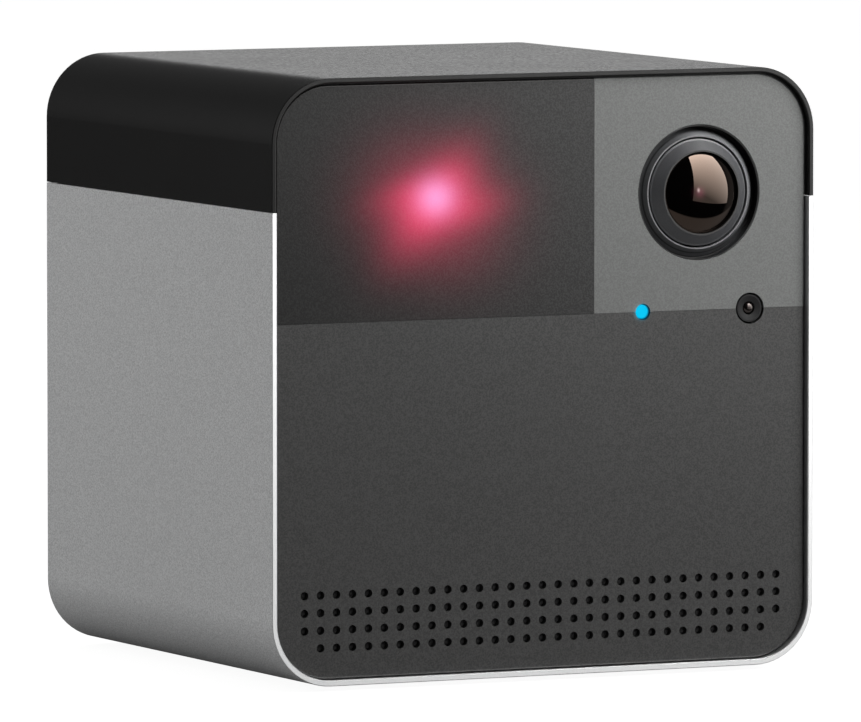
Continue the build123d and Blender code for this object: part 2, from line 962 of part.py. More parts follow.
def make_front_board():
    """Small board behind the seam with the status light and the light sensor's chip."""
    back = front_board_front + front_board_thickness
    board = cuboid(
        (front_board_left, front_board_left + front_board_width),
        (front_board_front, back),
        (front_board_low, front_board_low + front_board_height),
    )
    chip = Rectangle(front_chip_width, front_chip_height)
    chip_front = front_board_front - front_chip_depth
    chips = [along_depth(chip, chip_front, front_board_front, x, seam_z) for x in (led_x, sensor_x)]
    return keep("front_board", joined([board, *chips]))


# ------------------------------------------------------------ infrared lights

ir_board_from_boss = 4.7
ir_board_from_seam = 4.85
ir_board_height = 5.6
ir_board_gap = 2.6
ir_board_thickness = 1.0
ir_base_side = 3.5
ir_base_depth = 0.8
ir_nose_depth = 1.2
ir_nose_round = 0.9
ir_rib_width = 3.0
ir_rib_inset = 4.0
ir_led_count = 4
ir_led_radius = 1.6
ir_rib_thickness = 1.2

ir_board_left = boss_radius + ir_board_from_boss - top_boss_x
ir_board_right = seam_x - ir_board_from_seam
ir_board_front = carrier_back + ir_board_gap
ir_z = ceiling - ir_board_height / 2


def make_ir_board():
    return keep(
        "ir_board",
        cuboid(
            (ir_board_left, ir_board_right),
            (ir_board_front, ir_board_front + ir_board_thickness),
            (ceiling - ir_board_height, ceiling),
        ),
    )


def make_ir_leds():
    """Round-nosed infrared emitters on the strip above the laser."""
    pitch = (ir_board_right - ir_board_left) / ir_led_count
    lamps = []
    for number in range(ir_led_count):
        x = ir_board_left + (number + 0.5) * pitch
        base_front = ir_board_front - ir_base_depth
        base = along_depth(Rectangle(ir_base_side, ir_base_side), base_front, ir_board_front, x, ir_z)
        nose = along_depth(Circle(ir_led_radius), base_front - ir_nose_depth, base_front, x, ir_z)
        nose = fillet(nose.edges().group_by(Axis.Y)[0], ir_nose_round)
        lamps.append(base + nose)
    return keep("ir_leds", joined(lamps))


# ------------------------------------------------------------ speaker

speaker_corner = 8.0
speaker_flange_width = 2.7
basket_inset = 1.6
basket_wall = 1.0
basket_depth = 6.3
cone_clearance = 0.1
surround_width = 0.9
cone_thickness = 0.5
dust_cap_radius = 4.4
dust_cap_ball = 12.0
coil_radius = 5.2
coil_wall = 0.35
coil_length = 8.0
gap_clearance = 0.25
surround_front_gap = 0.1
surround_roll = 1.6
cone_recess = 1.0
magnet_back_wall = 1.2
magnet_radius = 7.4
magnet_depth = 6.0
chamber_wall = 1.4
chamber_depth = 18.0
chamber_ear_width = 13.2
chamber_ear_height = 5.4
chamber_ear_thickness = 1.6
chamber_ear_corner = 2.0
chamber_ear_overlap = 0.2
mic_width = 3.8
mic_height = 2.7
mic_hole_radius = 0.4
mic_thickness = 1.1
mic_board_side = 6.0
mic_board_thickness = 0.8

gasket_back = carrier_back + gasket_thickness
basket_back = speaker_flange_back + basket_depth
magnet_back = basket_back + magnet_depth
cone_front = speaker_flange_back + cone_recess


def speaker_oval(inset):
    return rounded(speaker_width - 2 * inset, speaker_height - 2 * inset, speaker_corner - inset)


def speaker_slab(inset, front, back):
    return along_depth(speaker_oval(inset), front, back, z=speaker_z)


def make_speaker_gasket():
    ring = speaker_slab(0, carrier_back, gasket_back)
    ring -= speaker_slab(speaker_flange_width, carrier_back, gasket_back)
    return keep("speaker_gasket", ring)


def make_speaker_frame():
    frame = speaker_slab(0, gasket_back, speaker_flange_back)
    frame += speaker_slab(basket_inset, gasket_back, basket_back)
    frame -= speaker_slab(speaker_flange_width, gasket_back, basket_back - basket_wall)
    frame -= along_depth(
        Circle(coil_radius + gap_clearance), basket_back - basket_wall, basket_back, z=speaker_z
    )
    return keep("speaker_frame", frame)


def make_speaker_surround():
    """Rubber roll between the cone's edge and the frame."""
    inner = speaker_flange_width + surround_width
    front = gasket_back + surround_front_gap
    back = speaker_flange_back + surround_roll
    ring = speaker_slab(speaker_flange_width + flush_clearance, front, back)
    return keep("speaker_surround", ring - speaker_slab(inner, front, back))


def make_speaker_cone():
    """Diaphragm with its dust cap, and the voice coil's former behind it."""
    inset = speaker_flange_width + surround_width + cone_clearance
    cone_back = cone_front + cone_thickness
    cone = speaker_slab(inset, cone_front, cone_back)
    cap_edge = cone_front + cone_thickness / 2
    cap_front = cap_edge - cap_depth(dust_cap_ball, dust_cap_radius)
    cap = turned(
        [(0, cap_edge), (dust_cap_radius, cap_edge), (dust_cap_radius, cone_back), (0, cone_back)],
        0,
        speaker_z,
    )
    shell = [
        Line((0, cap_edge), (0, cap_front)),
        bulge_arc(cap_front, dust_cap_radius, cap_edge),
        Line((dust_cap_radius, cap_edge), (0, cap_edge)),
    ]
    half = Plane(origin=(0, 0, speaker_z), x_dir=(1, 0, 0), z_dir=(0, 0, 1))
    cap += revolve(half * make_face(shell), Axis((0, 0, speaker_z), (0, 1, 0)))
    former = along_depth(Circle(coil_radius), cone_back, cone_back + coil_length, z=speaker_z)
    former -= along_depth(
        Circle(coil_radius - coil_wall), cone_back, cone_back + coil_length, z=speaker_z
    )
    return keep("speaker_cone", joined([cone + cap, former]))


def make_speaker_magnet():
    pot = along_depth(Circle(magnet_radius), basket_back, magnet_back, z=speaker_z)
    groove = Circle(coil_radius + gap_clearance) - Circle(coil_radius - coil_wall - gap_clearance)
    pot -= along_depth(groove, basket_back, magnet_back - magnet_back_wall, z=speaker_z)
    return keep("speaker_magnet", pot)


def make_speaker_chamber():
    """Closed box behind the driver, with two screwed ears."""
    width = speaker_width + 2 * chamber_margin
    height = speaker_height + 2 * chamber_margin
    back = speaker_flange_back + chamber_depth
    outside = rounded(width, height, speaker_corner + chamber_margin)
    box = along_depth(outside, speaker_flange_back, back, z=speaker_z)
    corner = speaker_corner + chamber_margin - chamber_wall
    cavity = rounded(width - 2 * chamber_wall, height - 2 * chamber_wall, corner)
    box -= along_depth(cavity, speaker_flange_back, back - chamber_wall, z=speaker_z)
    ear = rounded(chamber_ear_width, chamber_ear_height, chamber_ear_corner)
    ear_back = speaker_flange_back + chamber_ear_thickness
    for side in (-1, 1):
        centre = side * (speaker_ear_x - chamber_ear_overlap)
        lug = along_depth(ear, speaker_flange_back, ear_back, centre, speaker_z)
        lug -= along_depth(cavity, speaker_flange_back, back, z=speaker_z)
        box += lug
        box -= along_depth(
            Circle(screw_pilot()), speaker_flange_back, ear_back, side * speaker_ear_x, speaker_z
        )
    return keep("speaker_chamber", box)


def make_microphones():
    """Two microphone capsules on small boards behind the outer perforations."""
    pieces = []
    for side in (-1, 1):
        board = along_depth(
            Rectangle(mic_board_side, mic_board_side),
            carrier_back,
            carrier_back + mic_board_thickness,
            side * mic_x,
            grid_z,
        )
        board -= along_depth(
            Circle(mic_hole_radius),
            carrier_back,
            carrier_back + mic_board_thickness,
            side * mic_x,
            grid_z,
        )
        capsule = along_depth(
            Rectangle(mic_width, mic_height),
            carrier_back + mic_board_thickness,
            carrier_back + mic_board_thickness + mic_thickness,
            side * mic_x,
            grid_z,
        )
        pieces += [board, capsule]
    return keep("microphones", joined(pieces))


# ------------------------------------------------------------ main board, socket and button

board_from_side = 10.7
board_thickness = 1.6
board_front = -11.0
board_back_gap = 4.7
board_clear_of_insert = 1.2
board_post_radius = 2.5
board_post_inset = 4.0
board_post_rows = (-6.0, 27.0)
socket_width = 8.94
socket_height = 3.26
socket_length = 7.35
socket_wall = 0.3
tongue_thickness = 0.7
plug_pocket_width = 14.0
plug_pocket_height = 8.0
plug_pocket_depth = 5.5
plug_pocket_corner = 2.0
pocket_wall = 1.2
button_x = 20.0
button_radius = 1.6
button_flange_radius = 2.4
button_travel = 0.5
button_clearance = 0.06
button_length = 4.2
switch_width = 6.0
switch_depth = 4.0
switch_over_button = 1.9
switch_gap = 0.1
button_nose_length = 1.2
button_nose_radius = 0.8
button_flange_thickness = 0.8
button_flange_gap = 0.1
button_recess = 0.2
button_round = 0.3
tongue_width = 6.2
socket_back_wall = 1.4
tongue_recess = 0.8
socket_lead = 0.2
socket_corner_flat = 0.05
mouth_clearance = 0.2
processor_place = (-15.0, 11.0)
processor_side = 14.0
processor_height = 1.2
memory_place = (1.0, 11.0)
memory_width = 10.0
memory_depth = 12.0
power_chip_place = (-3.0, -3.5)
power_chip_side = 5.0
small_chip_height = 1.0
ribbon_socket_place = (16.0, -7.5)
ribbon_socket_width = 12.0
ribbon_socket_depth = 3.0
ribbon_socket_height = 1.8
heat_sink_side = 20.0
heat_sink_base = 1.5
fin_count = 6
fin_thickness = 1.0
fin_height = 6.3
wifi_place = (18.0, 7.0)
wifi_width = 16.0
wifi_depth = 14.0
wifi_height = 2.6
wifi_wall = 0.3
antenna_from_side = 11.7
antenna_y = -1.0
antenna_from_middle = 6.0
antenna_width = 10.0
antenna_thickness = 0.4
board_screw_length = 4.5
board_pilot_depth = 4.6
camera_screw_length = 5.0
speaker_screw_length = 4.0

board_width = 2 * (body_side - board_from_side)
board_post_x = board_width / 2 - board_post_inset
board_bottom = body_bottom + tripod_insert_height + board_clear_of_insert
board_top = board_bottom + board_thickness
board_back = rear_inside - board_back_gap
socket_z = board_top + socket_height / 2
pocket_floor = rear_outside - plug_pocket_depth
socket_mouth = pocket_floor + socket_lead
button_z = socket_z
button_inner = rear_outside - button_length
switch_back = button_inner - button_travel - switch_gap
antenna_length = body_side - antenna_from_side - antenna_from_middle
antenna_x = antenna_from_middle + antenna_length / 2
board_posts = [(side * board_post_x, y) for side in (-1, 1) for y in board_post_rows]


def make_main_board():
    board = cuboid(
        (-board_width / 2, board_width / 2), (board_front, board_back), (board_bottom, board_top)
    )
    for x, y in board_posts:
        board -= along_height(Circle(screw_pilot()), board_bottom, board_top, x, y)
    return keep("main_board", board)


def on_board(place, width, depth, height):
    """A block that stands on the main board, centred at place."""
    x, y = place
    return cuboid(
        (x - width / 2, x + width / 2),
        (y - depth / 2, y + depth / 2),
        (board_top, board_top + height),
    )


def make_board_chips():
    """Processor, memory, power chip, ribbon socket and the button's switch."""
    switch_height = button_z + switch_over_button - board_top
    chips = [
        on_board(processor_place, processor_side, processor_side, processor_height),
        on_board(memory_place, memory_width, memory_depth, small_chip_height),
        on_board(power_chip_place, power_chip_side, power_chip_side, small_chip_height),
        on_board(ribbon_socket_place, ribbon_socket_width, ribbon_socket_depth, ribbon_socket_height),
        on_board((button_x, switch_back - switch_depth / 2), switch_width, switch_depth, switch_height),
    ]
    return keep("board_chips", joined(chips))


def make_heat_sink():
    """Finned block on the processor."""
    x, y = processor_place
    low = board_top + processor_height
    half = heat_sink_side / 2
    sink = cuboid((x - half, x + half), (y - half, y + half), (low, low + heat_sink_base))
    pitch = (heat_sink_side - fin_thickness) / (fin_count - 1)
    for number in range(fin_count):
        left = x - half + number * pitch
        sink += cuboid(
            (left, left + fin_thickness),
            (y - half, y + half),
            (low + heat_sink_base, low + heat_sink_base + fin_height),
        )
    return keep("heat_sink", sink)


def make_wifi_shield():
    """Folded metal can over the radio, open towards the board."""
    can = on_board(wifi_place, wifi_width, wifi_depth, wifi_height)
    inside = 2 * wifi_wall
    can -= on_board(wifi_place, wifi_width - inside, wifi_depth - inside, wifi_height - wifi_wall)
    return keep("wifi_shield", can)


def make_antennas():
    """Two thin aerials glued under the plastic top, clear of the metal wrap."""
    strips = [
        cuboid(
            (side * antenna_x - antenna_length / 2, side * antenna_x + antenna_length / 2),
            (antenna_y - antenna_width / 2, antenna_y + antenna_width / 2),
            (ceiling - antenna_thickness, ceiling),
        )
        for side in (-1, 1)
    ]
    return keep("antennas", joined(strips))


def make_usb_socket():
    """Reversible charging socket: a rounded metal shell round a flat tongue."""
    back_end = socket_mouth - socket_length
    shell = along_depth(
        rounded(socket_width, socket_height, socket_height / 2 - socket_corner_flat),
        back_end,
        socket_mouth,
        z=socket_z,
    )
    shell -= along_depth(
        rounded(
            socket_width - 2 * socket_wall,
            socket_height - 2 * socket_wall,
            socket_height / 2 - socket_wall - socket_corner_flat,
        ),
        back_end + socket_back_wall,
        socket_mouth,
        z=socket_z,
    )
    tongue = along_depth(
        Rectangle(tongue_width, tongue_thickness),
        back_end + socket_back_wall,
        socket_mouth - tongue_recess,
        z=socket_z,
    )
    return keep("usb_socket", shell + tongue)


def make_reset_button():
    """Round push button: cap, retaining flange and nose that meets the switch."""
    nose_end = button_inner + button_nose_length
    flange_end = rear_inside - button_flange_gap
    button = along_depth(
        Circle(button_radius), nose_end, rear_outside - button_recess, button_x, button_z
    )
    button += along_depth(
        Circle(button_flange_radius),
        flange_end - button_flange_thickness,
        flange_end,
        button_x,
        button_z,
    )
    button += along_depth(Circle(button_nose_radius), button_inner, nose_end, button_x, button_z)
    rim = button.edges().group_by(Axis.Y)[-1]
    return keep("reset_button", fillet(rim, button_round))


def make_board_screws():
    """Identical screws of the main board and the camera board."""
    screws = [Pos(x, y, board_top) * screw(board_screw_length) for x, y in board_posts]
    back = camera_board_front + camera_board_thickness
    screws += [facing_back(screw(camera_screw_length), x, back, z) for x, z in camera_posts]
    return keep("board_screws", joined(screws))


def make_speaker_screws():
    back = speaker_flange_back + chamber_ear_thickness
    screws = [
        facing_back(screw(speaker_screw_length), side * speaker_ear_x, back, speaker_z)
        for side in (-1, 1)
    ]
    return keep("speaker_screws", joined(screws))


# ------------------------------------------------------------ rear cover

rear_screw_inset = 7.0
rear_screw_length = 9.0
vent_count = 11
vent_width = 1.4
vent_height = 15.0
vent_pitch = 3.4
vent_above_middle = 18.0
screw_head_recess = 0.2
rear_screw_seat = rear_outside - screw_head_height - screw_head_recess
rear_bosses = [
    (sx * (body_side - rear_screw_inset), body_middle + sz * (body_height / 2 - rear_screw_inset))
    for sx in (-1, 1)
    for sz in (-1, 1)
]


def make_rear_cover():
    cover = body_slab(wrap_wall + rear_gap, rear_inside, rear_outside)
    cover = fillet(cover.faces().sort_by(Axis.Y)[-1].outer_wire().edges(), panel_edge_round)
    pocket_outside = rounded(
        plug_pocket_width + 2 * pocket_wall,
        plug_pocket_height + 2 * pocket_wall,
        plug_pocket_corner + pocket_wall,
    )
    cover += along_depth(pocket_outside, pocket_floor - pocket_wall, rear_inside, z=socket_z)
    pocket = rounded(plug_pocket_width, plug_pocket_height, plug_pocket_corner)
    cover -= along_depth(pocket, pocket_floor, rear_outside, z=socket_z)
    mouth = rounded(
        socket_width + 2 * mouth_clearance,
        socket_height + 2 * mouth_clearance,
        socket_height / 2 + mouth_clearance - socket_corner_flat,
    )
    cover -= along_depth(mouth, pocket_floor - pocket_wall, pocket_floor, z=socket_z)
    cover -= along_depth(
        Circle(button_radius + button_clearance), rear_inside, rear_outside, button_x, button_z
    )
    for number in range(vent_count):
        x = (number - (vent_count - 1) / 2) * vent_pitch
        cover -= along_depth(
            rounded(vent_width, vent_height, vent_width / 2),
            rear_inside,
            rear_outside,
            x,
            body_middle + vent_above_middle,
        )
    for x, z in rear_bosses:
        cover -= along_depth(Circle(screw_pilot()), rear_inside, rear_outside, x, z)
        cover -= along_depth(
            Circle(screw_head_radius + shell_clearance),
            rear_screw_seat,
            rear_outside,
            x,
            z,
        )
    return keep("rear_cover", cover)


def make_rear_screws():
    screws = [
        facing_back(screw(rear_screw_length), x, rear_screw_seat, z) for x, z in rear_bosses
    ]
    return keep("rear_screws", joined(screws))


# ------------------------------------------------------------ laser gimbal

pan_motor_radius = 5.0
pan_motor_height = 9.5
tilt_motor_radius = 4.0
tilt_motor_length = 9.0
motor_shaft_radius = 0.75
motor_bore_clearance = 0.06
shaft_radius = 1.5
bush_clearance = 0.05
bush_radius = 2.5
yoke_gap_half = 7.0
arm_thickness = 2.5
arm_half_width = 4.0
yoke_base_thickness = 1.6
yoke_drop = 11.2
hub_radius = 4.0
hub_length = 3.0
hub_lift = 0.3
bracket_thickness = 1.6
bracket_half_width = 12.0
bracket_front = 6.5
bracket_back = 17.0
clip_radius = 3.0
clip_thickness = 0.6
groove_radius = 1.2
cradle_half_width = 5.0
cradle_half_depth = 4.0
cradle_half_height = 4.6
barrel_radius = 3.25
barrel_front_reach = 7.4
barrel_rear_reach = 5.4
barrel_inner_radius = 2.6
diode_radius = 2.55
diode_length = 4.0
laser_lens_radius = 2.4
laser_lens_rim = 0.9
laser_lens_ball = 5.0
barrel_nose_wall = 0.8
laser_aperture_radius = 1.3
sector_gap = 0.5
sector_hub_radius = 3.2
sector_margin_degrees = 12.0
bracket_screw_x = 9.5
bracket_screw_y = -3.0
bracket_corner = 2.0
bracket_screw_length = 3.0
motor_clearance = 0.1
motor_ear_width = 20.0
motor_ear_depth = 6.0
motor_ear_corner = 2.5
motor_ear_thickness = 0.8
motor_cavity_floor = 2.0
shaft_end_gap = 0.3
shaft_skin = 0.2
shaft_tip = 0.6
clip_gap = 0.2
clip_slot = 1.8
clip_slot_reach = 0.6
pinion_drop = 0.2
yoke_corner = 2.0
yoke_base_half_depth = 5.0
motor_rim = 0.6
motor_shaft_hole = 0.5
arm_base_overlap = 0.4
trunnion_end = 0.2
trunnion_collar_gap = 0.3
cradle_round = 0.8
diode_inset = 0.3

pan_motor_y = pivot_y + pan_centres
tilt_motor_y = pivot_y + tilt_centres
bracket_top = shelf_top + bracket_thickness
yoke_base_top = laser_z - yoke_drop
yoke_base_low = yoke_base_top - yoke_base_thickness
hub_low = yoke_base_low - hub_length
bracket_boss_top = hub_low - hub_lift
pan_gear_low = yoke_base_low - gear_thickness
pan_pinion_low = pan_gear_low + (gear_thickness - pinion_thickness) / 2 - pinion_drop
motor_ear_top = bracket_top + motor_ear_thickness
clip_low = yoke_base_top + clip_gap
arm_out = yoke_gap_half + arm_thickness
sector_left = laser_x + arm_out + sector_gap
sector_right = sector_left + gear_thickness


def make_gimbal_bracket():
    plate = cuboid(
        (laser_x - bracket_half_width, laser_x + bracket_half_width),
        (pivot_y - bracket_front, pivot_y + bracket_back),
        (shelf_top, bracket_top),
    )
    plate = fillet(plate.edges().filter_by(Axis.Z), bracket_corner)
    plate += along_height(Circle(hub_radius), bracket_top, bracket_boss_top, laser_x, pivot_y)
    plate -= along_height(
        Circle(shaft_radius + flush_clearance),
        shelf_top + shaft_skin,
        bracket_boss_top,
        laser_x,
        pivot_y,
    )
    plate -= along_height(
        Circle(pan_motor_radius + motor_clearance), shelf_top, bracket_top, laser_x, pan_motor_y
    )
    for x, y in bracket_screw_places():
        plate -= along_height(Circle(screw_pilot()), shelf_top, bracket_top, x, y)
    return keep("gimbal_bracket", plate)


def bracket_screw_places():
    return [(laser_x + side * bracket_screw_x, pivot_y + bracket_screw_y) for side in (-1, 1)]


def make_gimbal_screws():
    screws = [Pos(x, y, bracket_top) * screw(bracket_screw_length) for x, y in bracket_screw_places()]
    return keep("gimbal_screws", joined(screws))


def make_pan_shaft():
    """Fixed steel pin that the yoke turns on, with its retaining clip."""
    top = clip_low + clip_thickness + shaft_tip
    low = shelf_top + shaft_skin
    pin = turned_upright(
        [
            (0, low),
            (shaft_radius, low),
            (shaft_radius, clip_low),
            (groove_radius, clip_low),
            (groove_radius, clip_low + clip_thickness),
            (shaft_radius, clip_low + clip_thickness),
            (shaft_radius, top),
            (0, top),
        ],
        laser_x,
        pivot_y,
    )
    ring = Circle(clip_radius) - Circle(groove_radius + flush_clearance)
    clip = along_height(ring, clip_low, clip_low + clip_thickness, laser_x, pivot_y)
    clip -= cuboid(
        (laser_x - clip_slot / 2, laser_x + clip_slot / 2),
        (pivot_y - 2 * clip_radius, pivot_y - clip_slot_reach),
        (clip_low, clip_low + clip_thickness),
    )
    return keep("pan_shaft", joined([pin, clip]))


def make_pan_motor():
    low = motor_ear_top - pan_motor_height
    motor = along_height(Circle(pan_motor_radius), low, motor_ear_top, laser_x, pan_motor_y)
    ears = rounded(motor_ear_width, motor_ear_depth, motor_ear_corner)
    motor += along_height(ears, bracket_top, motor_ear_top, laser_x, pan_motor_y)
    motor -= along_height(
        Circle(motor_shaft_radius + motor_bore_clearance),
        low + motor_cavity_floor,
        motor_ear_top,
        laser_x,
        pan_motor_y,
    )
    return keep("pan_motor", motor)


def pinion_turn():
    """Turns a pinion by half a pitch, so that a gap meets the gear's tooth."""
    return math.pi / pinion_teeth


def make_pan_pinion():
    """Pinion with its motor shaft; a gap faces the gear's tooth."""
    teeth = gear_sketch(pinion_teeth, -math.pi / 2 + pinion_turn())
    top = pan_pinion_low + pinion_thickness
    pinion = along_height(teeth, pan_pinion_low, top, laser_x, pan_motor_y)
    shaft_low = motor_ear_top - pan_motor_height + motor_cavity_floor + shaft_end_gap
    pinion += along_height(Circle(motor_shaft_radius), shaft_low, top, laser_x, pan_motor_y)
    return keep("pan_pinion", pinion)


def make_pan_gear():
    wheel = along_height(
        gear_sketch(pan_gear_teeth, math.pi / 2), pan_gear_low, yoke_base_low, laser_x, pivot_y
    )
    wheel -= along_height(
        Circle(hub_radius + flush_clearance), pan_gear_low, yoke_base_low, laser_x, pivot_y
    )
    return keep("pan_gear", wheel)


def make_yoke():
    """U-shaped fork: base with hub, a short left arm, and a right arm that holds the motor."""
    base = rounded(2 * arm_out, 2 * yoke_base_half_depth, yoke_corner)
    yoke = along_height(base, yoke_base_low, yoke_base_top, laser_x, pivot_y)
    yoke += along_height(Circle(hub_radius), hub_low, yoke_base_top, laser_x, pivot_y)
    arm_height = yoke_drop + arm_base_overlap
    arm = Rectangle(2 * arm_half_width, arm_height)
    for side in (-1, 1):
        left = laser_x + (yoke_gap_half if side > 0 else -arm_out)
        right = left + arm_thickness
        yoke += along_width(arm, left, right, pivot_y, laser_z - arm_height / 2)
        yoke += along_width(Circle(arm_half_width), left, right, pivot_y, laser_z)
    left, right = laser_x + yoke_gap_half, laser_x + arm_out
    bridge = Rectangle(tilt_centres, 2 * arm_half_width)
    yoke += along_width(bridge, left, right, pivot_y + tilt_centres / 2, laser_z)
    yoke += along_width(Circle(tilt_motor_radius + motor_rim), left, right, tilt_motor_y, laser_z)
    for x_left, x_right in ((left, right), (laser_x - arm_out, laser_x - yoke_gap_half)):
        yoke -= along_width(
            Circle(bush_radius + flush_clearance), x_left, x_right, pivot_y, laser_z
        )
    yoke -= along_width(
        Circle(motor_shaft_radius + motor_shaft_hole), left, right, tilt_motor_y, laser_z
    )
    yoke -= along_height(
        Circle(bush_radius + flush_clearance), hub_low, yoke_base_top, laser_x, pivot_y
    )
    return keep("yoke", yoke)


def make_pan_bush():
    ring = Circle(bush_radius) - Circle(shaft_radius + bush_clearance)
    return keep("pan_bush", along_height(ring, hub_low, yoke_base_top, laser_x, pivot_y))


def make_tilt_bushes():
    ring = Circle(bush_radius) - Circle(shaft_radius + bush_clearance)
    bushes = [
        along_width(ring, left, left + arm_thickness, pivot_y, laser_z)
        for left in (laser_x + yoke_gap_half, laser_x - arm_out)
    ]
    return keep("tilt_bushes", joined(bushes))


def make_tilt_motor():
    right = laser_x + yoke_gap_half
    motor = along_width(
        Circle(tilt_motor_radius), right - tilt_motor_length, right, tilt_motor_y, laser_z
    )
    motor -= along_width(
        Circle(motor_shaft_radius + motor_bore_clearance),
        right - tilt_motor_length + motor_cavity_floor,
        right,
        tilt_motor_y,
        laser_z,
    )
    return keep("tilt_motor", motor)


def make_tilt_pinion():
    left = sector_left + (gear_thickness - pinion_thickness) / 2
    teeth = gear_sketch(pinion_teeth, math.pi + pinion_turn())
    pinion = along_width(teeth, left, left + pinion_thickness, tilt_motor_y, laser_z)
    shaft_left = laser_x + yoke_gap_half - tilt_motor_length + motor_cavity_floor + shaft_end_gap
    pinion += along_width(
        Circle(motor_shaft_radius), shaft_left, left + pinion_thickness, tilt_motor_y, laser_z
    )
    return keep("tilt_pinion", pinion)


def make_tilt_sector():
    """Toothed sector; it spans the tilt range and a margin at each end."""
    pitch = 360 / tilt_gear_teeth
    first = -math.ceil((tilt_down_limit + sector_margin_degrees) / pitch)
    last = math.ceil((tilt_up_limit + sector_margin_degrees) / pitch)
    rim = teeth_outline(tilt_gear_teeth, range(first, last + 1))
    sector = Polygon((0, 0), *rim, align=None) + Circle(sector_hub_radius)
    sector -= Circle(shaft_radius + flush_clearance)
    return keep("tilt_sector", along_width(sector, sector_left, sector_right, pivot_y, laser_z))


def make_laser_cradle():
    """Clamp round the laser's barrel, with a trunnion on each side."""
    cradle = cuboid(
        (laser_x - cradle_half_width, laser_x + cradle_half_width),
        (pivot_y - cradle_half_depth, pivot_y + cradle_half_depth),
        (laser_z - cradle_half_height, laser_z + cradle_half_height),
    )
    cradle = fillet(cradle.edges().filter_by(Axis.X), cradle_round)
    cradle += along_width(
        Circle(shaft_radius), laser_x - arm_out - trunnion_end, sector_right, pivot_y, laser_z
    )
    for side in (-1, 1):
        inner = laser_x + side * cradle_half_width
        outer = laser_x + side * (yoke_gap_half - trunnion_collar_gap)
        cradle += along_width(
            Circle(bush_radius), min(inner, outer), max(inner, outer), pivot_y, laser_z
        )
    cradle -= along_depth(
        Circle(barrel_radius + flush_clearance),
        pivot_y - cradle_half_depth,
        pivot_y + cradle_half_depth,
        laser_x,
        laser_z,
    )
    return keep("laser_cradle", cradle)


def make_laser_barrel():
    front = pivot_y - barrel_front_reach
    back = pivot_y + barrel_rear_reach
    inside = front + barrel_nose_wall
    profile = [
        (laser_aperture_radius, front),
        (barrel_radius, front),
        (barrel_radius, back),
        (barrel_inner_radius, back),
        (barrel_inner_radius, inside),
        (laser_aperture_radius, inside),
    ]
    return keep("laser_barrel", turned(profile, laser_x, laser_z))


def make_laser_lens():
    """Plano-convex collimating lens, its curved side towards the diode."""
    front = pivot_y - barrel_front_reach + barrel_nose_wall
    rim = front + laser_lens_rim
    bulge = cap_depth(laser_lens_ball, laser_lens_radius)
    outline = [
        Line((0, rim + bulge), (0, front)),
        Line((0, front), (laser_lens_radius, front)),
        Line((laser_lens_radius, front), (laser_lens_radius, rim)),
        bulge_arc(rim + bulge, laser_lens_radius, rim),
    ]
    half = Plane(origin=(laser_x, 0, laser_z), x_dir=(1, 0, 0), z_dir=(0, 0, 1))
    return keep(
        "laser_lens",
        revolve(half * make_face(outline), Axis((laser_x, 0, laser_z), (0, 1, 0))),
    )


def make_laser_diode():
    back = pivot_y + barrel_rear_reach
    can = along_depth(
        Circle(diode_radius), back - diode_length, back - diode_inset, laser_x, laser_z
    )
    return keep("laser_diode", can)


# ------------------------------------------------------------ chassis


def make_chassis():
    """Moulded inner frame: ring, shelf, partition, bosses and posts."""
    reach = (chassis_front, rear_inside)
    step_height = split_height - skirt_height - shell_clearance
    low = body_slab(chassis_inset_low, *reach) - above(step_height)
    high = body_slab(chassis_inset_high, *reach) - below(step_height)
    ring = low + high - body_slab(chassis_inner_inset, *reach)
    side = inner_side + weld
    ring += cuboid((-side, side), (chassis_front, shelf_back), (shelf_bottom, shelf_top))
    ring += cuboid(
        (seam_x - partition_thickness, seam_x),
        (chassis_front, partition_back),
        (shelf_top, ceiling + weld),
    )
    ring += cuboid(
        (-inner_side, inner_side),
        (chassis_front, rear_inside),
        (body_bottom + chassis_inset_low, floor_top),
    ) & body_slab(chassis_inset_low, *reach)
    for x, z in boss_places:
        ring += along_depth(Circle(boss_radius), chassis_front, chassis_front + boss_length, x, z)
        ring -= along_depth(
            Circle(screw_pilot()), chassis_front, chassis_front + boss_pilot_depth, x, z
        )
    for x, z in rear_bosses:
        ring += along_depth(Circle(boss_radius), rear_inside - boss_length, rear_inside, x, z)
        ring -= along_depth(Circle(screw_pilot()), rear_inside - boss_pilot_depth, rear_inside, x, z)
    for x in (ir_board_left + ir_rib_inset, ir_board_right - ir_rib_inset):
        rib_front = ir_board_front + ir_board_thickness
        ring += cuboid(
            (x - ir_rib_width / 2, x + ir_rib_width / 2),
            (rib_front, rib_front + ir_rib_thickness),
            (ceiling - ir_board_height, ceiling + weld),
        )
    ring += along_height(
        Circle(tripod_boss_radius), floor_top - weld, body_bottom + tripod_insert_height
    )
    ring -= along_height(
        Circle(tripod_insert_radius + flush_clearance),
        body_bottom,
        body_bottom + tripod_insert_height + cut_margin,
    )
    for x, y in base_screw_places():
        ring += along_height(
            Circle(base_boss_radius), floor_top - weld, floor_top + base_boss_height, x, y
        )
        ring -= along_height(
            Circle(screw_pilot()), body_bottom, floor_top + base_boss_height, x, y
        )
    for x, y in board_posts:
        ring += along_height(Circle(board_post_radius), floor_top - weld, board_bottom, x, y)
        ring -= along_height(
            Circle(screw_pilot()), board_bottom - board_pilot_depth, board_bottom, x, y
        )
    ring -= along_height(
        Circle(pan_motor_radius + shelf_motor_clearance),
        shelf_bottom,
        shelf_top,
        laser_x,
        pan_motor_y,
    )
    for x, y in bracket_screw_places():
        ring -= along_height(Circle(screw_pilot()), shelf_bottom, shelf_top, x, y)
    return keep("chassis", ring)


# ------------------------------------------------------------ build and write

